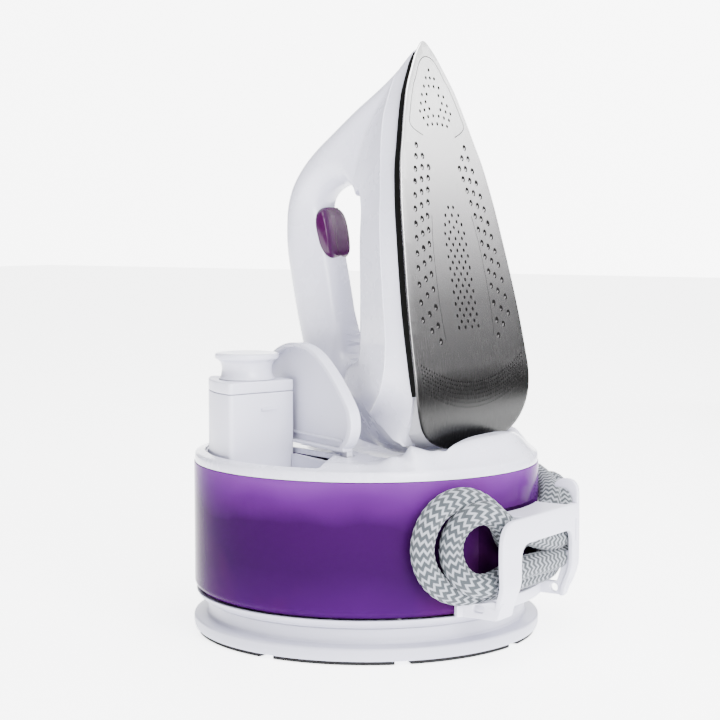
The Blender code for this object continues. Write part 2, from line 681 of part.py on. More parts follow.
# Soleplate half-width along its length, from the tip down to the heel, with how far the heel curls back.
SOLE_HALF = [(0.2400, 0.0009, 0), (0.2360, 0.0066, 0), (0.2320, 0.0110, 0), (0.2250, 0.0163, 0),
             (0.2125, 0.0250, 0), (0.1955, 0.0336, 0), (0.1710, 0.0438, 0), (0.1450, 0.0506, 0),
             (0.1195, 0.0551, 0), (0.0980, 0.0585, 0), (0.0800, 0.0606, 0), (0.0600, 0.0620, 0),
             (0.0450, 0.0623, 0.0010), (0.0380, 0.0612, 0.0020), (0.0310, 0.0585, 0.0035), (0.0245,
                                                                                            0.0540, 0.0055),
             (0.0190, 0.0470, 0.0072), (0.0150, 0.0360, 0.0084), (0.0125, 0.0240, 0.0090), (0.0112,
                                                                                            0.0100, 0.0092)]
HEEL_LIFT = [(0.0160, 0.0042), (0.0200, 0.0030), (0.0270, 0.0012), (0.0340, 0.0)]
# Shell half-width at its lower edge and deck height along its length.
SHELL = [(0.2190, 0.0085, 0.0150), (0.2140, 0.0140, 0.0220), (0.2050, 0.0220, 0.0300),
         (0.1880, 0.0318, 0.0380),
         (0.1710, 0.0385, 0.0440), (0.1550, 0.0440, 0.0490), (0.1390, 0.0475, 0.0520), (0.1220, 0.0505,
                                                                                        0.0545),
         (0.1060, 0.0528, 0.0565), (0.0900, 0.0550, 0.0590), (0.0750, 0.0570, 0.0620), (0.0590, 0.0585,
                                                                                        0.0660),
         (0.0460, 0.0580, 0.0700), (0.0360, 0.0550, 0.0720), (0.0270, 0.0490, 0.0720), (0.0200, 0.0400,
                                                                                        0.0700),
         (0.0160, 0.0280, 0.0640)]


def in_iron(obj, name, colour, roughness, iron_empty, metallic=0.0):
    """Finish a solid modelled in the iron's own axes: x across, y toward the tip, z toward the handle."""
    obj.data.transform(obj.matrix_world)
    obj.matrix_world = Matrix.Identity(4)
    return finish(obj, name, colour, roughness, metallic, iron_empty)


def sole_rings(inset, low, high, start, end):
    rings = []
    for l, w, back in SOLE_HALF:
        half = w - inset
        if start <= l <= end and half > 0.0005:
            rings.append([(-half, l, back + low), (0, l, back + low), (half, l, back + low),
                          (half, l, back + high), (0, l, back + high), (-half, l, back + high)])
    return rings


def shell_solid(grow, shrink=0.0, low=SHELL_BASE):
    """The skirt's rounded body; grow widens it, shrink makes the hollow inside it."""
    rings = []
    for l, w, top in SHELL[::-1]:
        if shrink > 0 and not 0.0270 <= l <= 0.2000:
            continue
        half = w + grow - shrink
        crown = top + grow - shrink
        base = max(low, low + blend_between(HEEL_LIFT, l))
        ring = [(-half, l, base), (half, l, base)]
        for k in range(13):
            a = pi * k / 12
            x = half * (1 if cos(a) >= 0 else -1) * abs(cos(a))
            ring.append((x, l, base + 0.0008 + (crown - base - 0.0008) * abs(sin(a)) ** 1.1))
        rings.append(ring)
    return loft(rings)


def handle_outline():
    outer = [(0.2285, 0.0110), (0.2245, 0.0220), (0.2185, 0.0340), (0.2095, 0.0500), (0.2005, 0.0640),
             (0.1915, 0.0770), (0.1835, 0.0880), (0.1745, 0.0975), (0.1640, 0.1040), (0.1500, 0.1065),
             (0.1300, 0.1075), (0.1090, 0.1075), (0.0850, 0.1070), (0.0620, 0.1055), (0.0460, 0.1020),
             (0.0340, 0.0955), (0.0250, 0.0865), (0.0200, 0.0770), (0.0190, 0.0680)]
    return outer + [(0.0250, 0.0550), (0.0600, 0.0450), (0.1200, 0.0350), (0.1700, 0.0250),
                    (0.2050, 0.0120)]


def grip_opening():
    front = [(0.1670 + 0.0160 * cos(radians(a)), 0.0670 + 0.0160 * sin(radians(a))) for a in range(-80,
                                                                                                   81, 20)]
    return front + [(0.1500, 0.0795), (0.1200, 0.0775), (0.0800, 0.0772), (0.0730, 0.0740),
                    (0.0700, 0.0680),
                    (0.0730, 0.0450), (0.1200, 0.0400), (0.1500, 0.0400)]


TRIGGER_OUTLINE = [(0.1600, 0.0775), (0.1590, 0.0810), (0.1530, 0.0828), (0.1460, 0.0828),
                   (0.1380, 0.0810),
                   (0.1325, 0.0785), (0.1315, 0.0755), (0.1345, 0.0735), (0.1430, 0.0722), (0.1530,
                                                                                            0.0722),
                   (0.1585, 0.0740)]
TRIGGER_STEM = [(0.1605, 0.0780), (0.1615, 0.0850), (0.1590, 0.0885), (0.1480, 0.0885), (0.1450, 0.0860),
                (0.1450, 0.0780)]
PROFILE = Matrix(((0, 0, 1, 0), (1, 0, 0, 0), (0, 1, 0, 0), (0, 0, 0, 1)))


def make_trigger(trigger_empty):
    to_local = trigger_empty.matrix_world.inverted() @ IRON_FRAME
    trigger = slab(TRIGGER_OUTLINE, -0.0153, 0.0153, PROFILE, (), 0.0030, 2)
    trigger = join(trigger, slab(TRIGGER_STEM, -0.0060, 0.0060, PROFILE))
    trigger = combine(trigger, rod(0.0017, (-0.03, *TRIGGER_PIN), (0.03, *TRIGGER_PIN), 12))
    trigger.data.transform(to_local @ trigger.matrix_world)
    trigger.matrix_world = Matrix.Identity(4)
    finish(trigger, "trigger", TRIGGER_PURPLE, 0.1, parent=trigger_empty)


def grown(outline, margin):
    """The same outline with every point moved away from its middle."""
    middle = Vector((sum(l for l, _ in outline), sum(h for _, h in outline))) / len(outline)
    return [tuple(Vector(p) + (Vector(p) - middle).normalized() * margin) for p in outline]


def make_handle(iron_empty):
    handle = slab(handle_outline(), -HANDLE_HALF, HANDLE_HALF, PROFILE, [grip_opening()], 0.0068, 3)
    handle.data.transform(handle.matrix_world)
    handle.matrix_world = Matrix.Identity(4)
    for vertex in handle.data.vertices:
        vertex.co.x *= 1 - 0.55 * ramp(vertex.co.y, 0.175, 0.232)
    handle = combine(handle, shell_solid(GAP))
    pivot = Matrix.Translation((0, *TRIGGER_PIN))
    for angle in (0.0, 3.5, 7.0):
        turn = pivot @ Matrix.Rotation(radians(-angle), 4, "X") @ pivot.inverted()
        handle = combine(handle, slab(grown(TRIGGER_OUTLINE, 0.0007), -0.03, 0.03, turn @ PROFILE))
        handle = combine(handle, slab(grown(TRIGGER_STEM, 0.0007), -0.0066, 0.0066, turn @ PROFILE))
    handle = combine(handle, box((-0.0055, 0.1350, 0.0850), (0.0055, 0.1560, 0.1000)))
    in_iron(handle, "handle", WHITE, 0.3, iron_empty)
    pin = rod(0.0014, (-0.0064, *TRIGGER_PIN), (0.0064, *TRIGGER_PIN), 12)
    in_iron(pin, "trigger_pin", STEEL, 0.3, iron_empty, 1.0)
    switch = box((-0.0045, 0.1360, 0.0935), (0.0045, 0.1450, 0.0995))
    in_iron(switch, "steam_switch", DARK, 0.5, iron_empty)
    spring = tube([(0.0022 * cos(k * pi / 3), 0.1515 + 0.0022 * sin(k * pi / 3), 0.0925 + 0.00022 * k)
                   for k in range(31)], 0.0004, 1)
    in_iron(spring, "trigger_spring", STEEL, 0.3, iron_empty, 1.0)


def make_iron(iron_empty):
    sole = loft(sole_rings(0.0, 0.0, 0.0030, 0.0, 0.24))
    in_iron(sole, "soleplate", STEEL, 0.3, iron_empty, 1.0)
    shield = loft(sole_rings(0.0045, 0.0033, 0.0087, 0.0455, 0.2320))
    in_iron(shield, "heat_shield", DARK, 0.7, iron_empty)
    heel = loft([[(x, l, h - back if z > 2 else h) for z, (x, l, h) in enumerate(ring)]
                 for ring, back in [(r, r[0][2] - 0.0033) for r in sole_rings(0.0040, 0.0033, 0.0135,
                                                                              0.0120, 0.0452)]])
    heel = combine(heel, shell_solid(GAP, 0.0, SHELL_BASE - GAP))
    in_iron(heel, "heel_cover", SHADE, 0.4, iron_empty)
    shell = combine(shell_solid(0.0), shell_solid(0.0, 0.0030, SHELL_BASE - 0.002))
    tongue = rod(0.0080, (0, 0.045, 0.030), (0, 0.0, 0.050), 20)
    shell = combine(shell, tongue)
    in_iron(shell, "iron_shell", WHITE, 0.3, iron_empty)
    chamber = loft([[(-w * 0.72, l, 0.0091), (w * 0.72, l, 0.0091), (w * 0.60, l, 0.0250),
                     (-w * 0.60, l, 0.0250)]
                    for l, w, _ in SHELL[3:13]])
    in_iron(chamber, "steam_chamber", (0.55, 0.55, 0.56), 0.5, iron_empty, 1.0)
    fuse = box((-0.006, 0.128, 0.0253), (0.006, 0.150, 0.0330), None, 0.001)
    in_iron(fuse, "thermostat", (0.55, 0.50, 0.42), 0.5, iron_empty)
    pipe = tube(smooth_path([(0.0, 0.060, 0.0285), (0.0, 0.048, 0.0300), (0.0, 0.036, 0.0345)], 0.005),
                0.0030)
    in_iron(pipe, "steam_pipe", (0.75, 0.75, 0.70), 0.5, iron_empty)


RELIEF_FROM = (-0.0020, 0.0370, 0.0990)
RELIEF_AT = (-0.0140, 0.0375, 0.1180)


def make_relief(iron_empty):
    relief = rod(0.0088, RELIEF_FROM, RELIEF_AT, 20, 0.0070)
    relief = combine(relief, grown_handle())
    in_iron(relief, "hose_relief", SHADE, 0.5, iron_empty)


def grown_handle():
    return slab([(l + 0.0003 * (1 if l > 0.1 else -1), h + 0.0004) for l, h in handle_outline()],
                -HANDLE_HALF - GAP, HANDLE_HALF + GAP, PROFILE)


# ---------------------------------------------------------------- hose
def coil_section(azimuth):
    """Rounded section of the wound hose at an azimuth: it is squeezed where it passes under the shelf."""
    from_end = azimuth - COIL_START_AZ + 1.0
    bulge = (1 - (1 - min(1.0, from_end / 17.0)) ** 2) ** 0.5
    squeeze = ramp(azimuth, 60.0, 73.0) * (1 - ramp(azimuth, 107.0, 125.0))
    lifted = ramp(azimuth, 54.0, 62.0) * (1 - ramp(azimuth, 116.0, 126.0))
    low = COIL_MIDDLE - 0.0310 * bulge + 0.0042 * lifted
    high = COIL_MIDDLE + 0.0315 * bulge - 0.0210 * squeeze
    return low, high


def make_coil():
    rings = []
    count = 26
    for i in range(count + 1):
        azimuth = COIL_START_AZ + (COIL_END_AZ - COIL_START_AZ) * i / count
        low, high = coil_section(azimuth)
        a = radians(azimuth)
        inner, outer = 0.1008, 0.1140
        if abs(azimuth - 90) < 32:
            outer = min(outer, (RACK_FRONT - RACK_WALL - 0.0013) / sin(a))
        cut = 0.3 * min(high - low, outer - inner)
        section = [(inner + cut, low), (outer - cut, low), (outer, low + cut), (outer, high - cut),
                   (outer - cut, high), (inner + cut, high), (inner, high - cut), (inner, low + cut)]
        rings.append([(r * cos(a), r * sin(a), z) for r, z in section])
    finish(loft(rings), "steam_hose_coil", HOSE_GREY, 0.8)


def make_hose_ends():
    coil_low = radial_frame(COIL_END_AZ, 0.1080, STRAND_LOW)
    coil_high = radial_frame(COIL_END_AZ, 0.1080, STRAND_HIGH)
    low_end = [HOSE_GLAND @ Vector((0, -0.0193, 0)), HOSE_GLAND @ Vector((0, -0.0235, 0)),
               coil_low @ Vector((0, 0.0060, 0)), coil_low @ Vector((0, GAP, 0))]
    finish(tube(led_path(low_end, 0.004), HOSE_R - 0.0004, 2), "steam_hose_base_end", HOSE_GREY, 0.8)
    start = IRON_FRAME @ Vector(RELIEF_AT)
    way = (start - IRON_FRAME @ Vector(RELIEF_FROM)).normalized()
    high_end = [start + way * GAP, start + way * 0.006, Vector((-0.0420, -0.0640, 0.1150)),
                Vector((-0.0720, -0.0720, 0.1150)), Vector((-0.0980, -0.0600, 0.1120)),
                place_around(0.1140, 197.0, 0.1050), place_around(0.1110, 184.0, 0.0990),
                place_around(0.1090, 174.0, 0.0925), coil_high @ Vector((0, 0.0080, 0)),
                coil_high @ Vector((0, GAP, 0))]
    finish(tube(led_path(high_end, 0.008), HOSE_R - 0.0004, 2), "steam_hose_iron_end", HOSE_GREY, 0.8)


# ---------------------------------------------------------------- assembly
def empty(name, matrix):
    obj = bpy.data.objects.new(name, None)
    obj.matrix_world = matrix
    parts.objects.link(obj)
    bpy.context.view_layer.update()
    return obj


make_foot()
make_base_tub()
make_tank()
make_machinery()
make_cover()
make_well()
make_rack()
make_controls()
make_inlets()
lid_axis = empty("lid_axis", LID_FRAME @ Matrix.Translation((0, PIN_Y, PIN_Z)))
make_lid(lid_axis)
cartridge_axis = empty("cartridge_axis", radial_frame(CARTRIDGE_AZ, KNOB_AT, CARTRIDGE_TOP))
make_cartridge(cartridge_axis)
iron_axis = empty("iron_axis", IRON_FRAME)
trigger_axis = empty("trigger_axis", IRON_FRAME @ Matrix.Translation((0, *TRIGGER_PIN)))
make_iron(iron_axis)
make_handle(iron_axis)
make_relief(iron_axis)
make_trigger(trigger_axis)
make_coil()
make_hose_ends()
bpy.context.view_layer.update()
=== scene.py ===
"""Looks for the compact steam generator iron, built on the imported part. Metres, +Z up, -Y front."""
import bpy
import bmesh
import numpy as np
from math import sin, cos, radians, degrees, pi, hypot, atan2, sqrt
from mathutils import Matrix, Vector
from mathutils.geometry import delaunay_2d_cdt


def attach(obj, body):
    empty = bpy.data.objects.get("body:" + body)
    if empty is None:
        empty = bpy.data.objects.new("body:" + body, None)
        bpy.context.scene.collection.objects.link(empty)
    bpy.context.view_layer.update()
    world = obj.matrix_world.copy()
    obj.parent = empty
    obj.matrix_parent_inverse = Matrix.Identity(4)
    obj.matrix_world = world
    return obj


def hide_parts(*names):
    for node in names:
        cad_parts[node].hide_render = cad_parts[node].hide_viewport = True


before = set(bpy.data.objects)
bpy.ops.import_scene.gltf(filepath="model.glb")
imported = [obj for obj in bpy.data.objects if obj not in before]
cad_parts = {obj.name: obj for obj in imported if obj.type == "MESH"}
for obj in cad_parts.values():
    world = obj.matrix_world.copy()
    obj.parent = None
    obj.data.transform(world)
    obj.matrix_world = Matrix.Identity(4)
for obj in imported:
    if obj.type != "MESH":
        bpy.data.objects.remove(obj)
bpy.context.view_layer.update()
MM = 0.001

# ---- camera
FOCAL_LENGTH = 87.37
CAMERA_AT = Vector((0.8439, 0.5582, 0.2360))
CAMERA_WAY = Vector((-0.8294, -0.5529, -0.0796)).normalized()
camera_data = bpy.data.cameras.new("camera")
camera_data.lens = FOCAL_LENGTH
camera_data.sensor_width = 36.0
camera_data.clip_start = 0.01
camera = bpy.data.objects.new("camera", camera_data)
bpy.context.scene.collection.objects.link(camera)
right = CAMERA_WAY.cross(Vector((0, 0, 1))).normalized()
up = right.cross(CAMERA_WAY)
camera.matrix_world = Matrix.Translation(CAMERA_AT) @ Matrix((right, up, -CAMERA_WAY)).transposed().to_4x4()
bpy.context.scene.camera = camera


# ---- shape helpers
def raw(mesh_or_curve, matrix=None, name="raw"):
    obj = bpy.data.objects.new(name, mesh_or_curve)
    bpy.context.scene.collection.objects.link(obj)
    if matrix is not None:
        obj.matrix_world = matrix
    return obj


def mesh_object(name, verts, faces):
    mesh = bpy.data.meshes.new(name)
    mesh.from_pydata([tuple(map(float, v)) for v in verts], [], [tuple(map(int, f)) for f in faces])
    mesh.update()
    return raw(mesh, None, name)


def applied(obj):
    """Replace an object by the mesh that it evaluates to, in world places."""
    bpy.context.view_layer.update()
    graph = bpy.context.evaluated_depsgraph_get()
    mesh = bpy.data.meshes.new_from_object(obj.evaluated_get(graph))
    mesh.transform(obj.matrix_world)
    result = raw(mesh, None, obj.name)
    bpy.data.objects.remove(obj, do_unlink=True)
    return result


def weld(obj, distance=1e-5):
    """Drop vertices that no face uses, merge the ones that lie together and turn all faces outward."""
    bm = bmesh.new()
    bm.from_mesh(obj.data)
    bmesh.ops.delete(bm, geom=[v for v in bm.verts if not v.link_faces], context="VERTS")
    bmesh.ops.remove_doubles(bm, verts=bm.verts, dist=distance)
    bmesh.ops.recalc_face_normals(bm, faces=bm.faces)
    bm.to_mesh(obj.data)
    bm.free()
    return obj


def fillet(points, steps=6):
    """Points (a, b, radius) become a line whose corners are rounded by that radius."""
    out = [tuple(points[0][:2])]
    for before, here, after in zip(points, points[1:], points[2:]):
        reach = here[2] if len(here) > 2 else 0.0
        corner = Vector(here[:2])
        a, b = Vector(before[:2]) - corner, Vector(after[:2]) - corner
        if reach <= 0 or a.length < 1e-9 or b.length < 1e-9:
            out.append(tuple(corner))
            continue
        reach = min(reach, a.length * 0.49, b.length * 0.49)
        p0, p2 = corner + a.normalized() * reach, corner + b.normalized() * reach
        for k in range(steps + 1):
            u = k / steps
            out.append(tuple(p0 * (1 - u) ** 2 + corner * 2 * u * (1 - u) + p2 * u * u))
    out.append(tuple(points[-1][:2]))
    return out


def turned(name, profile, steps=96, matrix=None):
    """Revolve (radius, z) points about local Z."""
    verts, rings = [], []
    for r, z in profile:
        if r < 1e-7:
            rings.append([len(verts)])
            verts.append((0, 0, z))
            continue
        ring = []
        for k in range(steps):
            a = 2 * pi * k / steps
            ring.append(len(verts))
            verts.append((r * cos(a), r * sin(a), z))
        rings.append(ring)
    faces = []
    for p, q in zip(rings, rings[1:]):
        for k in range(steps if max(len(p), len(q)) > 1 else 0):
            j = (k + 1) % steps
            corners = (p[k % len(p)], q[k % len(q)], q[j % len(q)], p[j % len(p)])
            faces.append(tuple(dict.fromkeys(corners)))
    obj = mesh_object(name, verts, faces)
    weld(obj, 1e-7)
    if matrix is not None:
        obj.data.transform(matrix)
    return obj


def plate(name, outline, low, high, matrix=None, holes=(), bevel=0.0, segments=3):
    """A flat outline in local XY from z = low to high, with round edges inside its own outline."""
    curve = bpy.data.curves.new(name, "CURVE")
    curve.dimensions = "2D"
    curve.fill_mode = "BOTH"
    curve.extrude = (high - low) / 2 - bevel
    curve.bevel_depth = bevel
    curve.offset = -bevel
    curve.bevel_resolution = segments
    for ring in (outline, *holes):
        spline = curve.splines.new("POLY")
        spline.points.add(len(ring) - 1)
        for point, (x, y) in zip(spline.points, ring):
            point.co = (x, y, 0.0, 1.0)
        spline.use_cyclic_u = True
    base = matrix if matrix is not None else Matrix.Identity(4)
    obj = applied(raw(curve, base @ Matrix.Translation((0, 0, (low + high) / 2)), name))
    return weld(obj)


def combine(obj, other, operation="DIFFERENCE"):
    other.hide_render = True
    mod = obj.modifiers.new("boolean", "BOOLEAN")
    mod.operation = operation
    mod.object = other
    name = obj.name
    result = applied(obj)
    bpy.data.objects.remove(other, do_unlink=True)
    result.name = name
    return result


def rectangle(x0, y0, x1, y1):
    return [(x0, y0), (x1, y0), (x1, y1), (x0, y1)]


def rectangle_profile(radius, low, high):
    """The (radius, z) profile of a plain cylinder, for cutting."""
    return [(0.0, low), (radius, low), (radius, high), (0.0, high)]


def belt(first, second):
    """Quads between two closed rings of vertex numbers."""
    count = len(first)
    return [(first[k], first[(k + 1) % count], second[(k + 1) % count], second[k]) for k in range(count)]


def joined(name, *objs):
    """Several meshes become one object."""
    bm = bmesh.new()
    for obj in objs:
        mesh = obj.data.copy()
        mesh.transform(obj.matrix_world)
        bm.from_mesh(mesh)
        bpy.data.meshes.remove(mesh)
        bpy.data.objects.remove(obj, do_unlink=True)
    mesh = bpy.data.meshes.new(name)
    bm.to_mesh(mesh)
    bm.free()
    return raw(mesh, None, name)


def round_outline(corners, radius, steps=6):
    closed = [*corners, corners[0], corners[1]]
    marked = [(*p, radius) for p in closed]
    return fillet(marked, steps)[1:-1]


def arc(radius, start, end, count):
    angles = [radians(start + (end - start) * i / (count - 1)) for i in range(count)]
    return [(radius * cos(a), radius * sin(a)) for a in angles]


def curve_through(points, step, closed=False):
    """Points about a step apart on a smooth curve through given points of any dimension."""
    p = np.array(points, float)
    if closed:
        p = np.vstack([p[-1], p, p[0], p[1]])
    else:
        p = np.vstack([2 * p[0] - p[1], p, 2 * p[-1] - p[-2]])
    u = np.linspace(0, 1, 16, endpoint=False)[:, None]
    fine = []
    for a, b, c, d in zip(p, p[1:], p[2:], p[3:]):
        fine.append(0.5 * (2 * b + (c - a) * u + (2 * a - 5 * b + 4 * c - d) * u ** 2
                           + (3 * b - a - 3 * c + d) * u ** 3))
    fine = np.vstack([*fine, p[-2:-1]])
    run = np.concatenate([[0], np.cumsum(np.linalg.norm(np.diff(fine, axis=0), axis=1))])
    count = max(3, int(round(run[-1] / step)))
    at = np.linspace(0, run[-1], count + 1)
    out = np.stack([np.interp(at, run, fine[:, k]) for k in range(p.shape[1])], 1)
    return out[:-1] if closed else out


def sweep(name, path, radius_at, around, pitch):
    """A capped round tube along a path. Its UV map counts turns across and pitches along."""
    path = np.array(path, float)
    way = np.gradient(path, axis=0)
    way /= np.linalg.norm(way, axis=1)[:, None]
    side = np.cross(way[0], (0.0, 0.0, 1.0) if abs(way[0][2]) < 0.9 else (1.0, 0.0, 0.0))
    side /= np.linalg.norm(side)
    verts = []
    angle = np.arange(around) * 2 * pi / around
    run = np.concatenate([[0], np.cumsum(np.linalg.norm(np.diff(path, axis=0), axis=1))])
    for place, direction, along in zip(path, way, run):
        side = side - direction * (side @ direction)
        side /= np.linalg.norm(side)
        over = np.cross(direction, side)
        r = radius_at(along, angle) * np.ones(around)
        verts.append(place + r[:, None] * (np.cos(angle)[:, None] * side + np.sin(angle)[:, None] * over))
    rings = [range(i * around, (i + 1) * around) for i in range(len(path))]
    faces = [quad for a, b in zip(rings, rings[1:]) for quad in belt(a, b)]
    faces += [tuple(rings[0][::-1]), tuple(rings[-1])]
    obj = mesh_object(name, np.vstack(verts), faces)
    layer = obj.data.uv_layers.new(name="weave")
    flat = np.zeros((len(obj.data.loops), 2))
    places = [(col / around, run[row] / pitch) for i in range(len(path) - 1) for k in range(around)
              for row, col in ((i, k), (i, k + 1), (i + 1, k + 1), (i + 1, k))]
    flat[:len(places)] = places
    layer.data.foreach_set("uv", flat.ravel())
    return obj


# ---- filled outlines
ROW_SHARE = 0.87


def inside(points, polygon):
    """Which of the points lie within the closed polygon."""
    x, y = points[:, 0], points[:, 1]
    result = np.zeros(len(points), bool)
    for (x0, y0), (x1, y1) in zip(polygon, np.roll(polygon, -1, axis=0)):
        crossing = (y0 > y) != (y1 > y)
        if not crossing.any():
            continue
        cut = (x1 - x0) * (y - y0) / (y1 - y0 if y1 != y0 else 1e-12) + x0
        result ^= crossing & (x < cut)
    return result


def reach(points, line, closed=False):
    """Distance from each point to a line of points."""
    line = np.array(line, float)
    ends = np.roll(line, -1, axis=0) if closed else line[1:]
    starts = line if closed else line[:-1]
    best = np.full(len(points), 1e9)
    for a, b in zip(starts, ends):
        d = b - a
        t = np.clip(((points - a) @ d) / max(d @ d, 1e-18), 0, 1)
        best = np.minimum(best, np.linalg.norm(points - a - t[:, None] * d, axis=1))
    return best


def offset_line(line, distance, closed=False):
    line = np.array(line, float)
    if closed:
        way = np.roll(line, -1, axis=0) - np.roll(line, 1, axis=0)
    else:
        way = np.gradient(line, axis=0)
    way /= np.maximum(np.linalg.norm(way, axis=1), 1e-12)[:, None]
    return line + distance * np.stack([-way[:, 1], way[:, 0]], 1)


def spread_out(kept, group, clear):
    """The kept points, with those of a group that lie farther than clear from all of them."""
    cell = {}
    for p in kept:
        cell.setdefault((int(p[0] // clear), int(p[1] // clear)), []).append(p)
    good = []
    for p in group:
        i, j = int(p[0] // clear), int(p[1] // clear)
        near = [q for a in (-1, 0, 1) for b in (-1, 0, 1) for q in cell.get((i + a, j + b), ())]
        if all((p[0] - q[0]) ** 2 + (p[1] - q[1]) ** 2 > clear * clear for q in near):
            good.append(p)
    return np.vstack([kept, good]) if good else kept


def even_grid(ring, spacing):
    """Staggered rows of points over a ring's box."""
    low, high = ring.min(0), ring.max(0)
    grid = []
    for k, y in enumerate(np.arange(low[1], high[1], spacing * ROW_SHARE)):
        xs = np.arange(low[0] + (k % 2) * spacing / 2, high[0], spacing)
        grid.append(np.stack([xs, np.full(len(xs), y)], 1))
    return np.vstack(grid)


def fill(outer, holes, lines, loose, clear, spacing=None):
    """Triangles over an outline with holes: points (n, 2) and faces (m, 3).

    Lines are kept as edges. Loose points and, with a spacing, a grid are added where they aren't crowded.
    """
    rings = [np.array(outer, float), *[np.array(h, float) for h in holes]]
    points, edges = [], []
    for ring in rings:
        start = sum(len(p) for p in points)
        points.append(ring)
        edges += [(start + i, start + (i + 1) % len(ring)) for i in range(len(ring))]
    for line in lines:
        start = sum(len(p) for p in points)
        points.append(line)
        edges += [(start + i, start + i + 1) for i in range(len(line) - 1)]
    extra = [np.array(p, float) for p in loose if len(p)]
    if spacing:
        extra.append(even_grid(rings[0], spacing))
    kept = np.vstack(points)
    for group in extra:
        kept = spread_out(kept, group[within(group, rings)], clear)
    verts, _, faces, _, _, _ = delaunay_2d_cdt([Vector(map(float, p)) for p in kept], edges, [], 0, 1e-9)
    flat_verts = np.array([tuple(v) for v in verts])
    tris = np.array([f for f in faces if len(f) == 3])
    tris = tris[within(flat_verts[tris].mean(axis=1), rings)]
    a, b, c = (flat_verts[tris[:, k]] for k in range(3))
    turn = (b[:, 0] - a[:, 0]) * (c[:, 1] - a[:, 1]) - (b[:, 1] - a[:, 1]) * (c[:, 0] - a[:, 0])
    tris[turn < 0] = tris[turn < 0][:, ::-1]
    return flat_verts, tris


def within(points, rings):
    """Which points lie in the first ring and in none of the others."""
    ok = inside(points, rings[0])
    for hole in rings[1:]:
        ok &= ~inside(points, hole)
    return ok


def border(tris):
    """Edges used by one triangle only, in that triangle's direction."""
    seen = {}
    for tri in tris:
        for a, b in ((tri[0], tri[1]), (tri[1], tri[2]), (tri[2], tri[0])):
            if (b, a) in seen:
                del seen[(b, a)]
            else:
                seen[(a, b)] = True
    return list(seen)


def two_sided(name, tris, front, back, merge):
    """A closed body from a triangulated outline: the same triangles at the front and back places."""
    count = len(front)
    faces = [tuple(t) for t in tris] + [tuple(t[::-1] + count) for t in tris]
    faces += [(b, a, a + count, b + count) for a, b in border(tris)]
    return weld(mesh_object(name, np.vstack([front, back]), faces), merge)


def table(rows, x):
    """Smooth values between rows of (x, value, ...), for an array of x."""
    rows = np.array(sorted(rows), float)
    x = np.asarray(x, float)
    if rows.shape[1] > 2:
        return np.stack([table(rows[:, [0, k]], x) for k in range(1, rows.shape[1])], -1)
    xs, ys = rows[:, 0], rows[:, 1]
    slope = np.gradient(ys, xs)
    i = np.clip(np.searchsorted(xs, x) - 1, 0, len(xs) - 2)
    h = xs[i + 1] - xs[i]
    u = np.clip((x - xs[i]) / h, 0, 1)
    return ((2 * u ** 3 - 3 * u ** 2 + 1) * ys[i] + (u ** 3 - 2 * u ** 2 + u) * h * slope[i]
            + (-2 * u ** 3 + 3 * u ** 2) * ys[i + 1] + (u ** 3 - u ** 2) * h * slope[i + 1])


def ramp(x, low, high):
    u = np.clip((np.asarray(x, float) - low) / (high - low), 0, 1)
    return u * u * (3 - 2 * u)


def place_around(radius, azimuth, z):
    a = radians(azimuth)
    return (radius * cos(a), radius * sin(a), z)


def radial_frame(azimuth, distance, height):
    turn = Matrix.Rotation(radians(azimuth), 4, "Z")
    return Matrix.Translation(place_around(distance, azimuth, height)) @ turn


def frame_matrix(origin, x_axis, y_axis, z_axis):
    return Matrix.Translation(origin) @ Matrix((x_axis, y_axis, z_axis)).transposed().to_4x4()


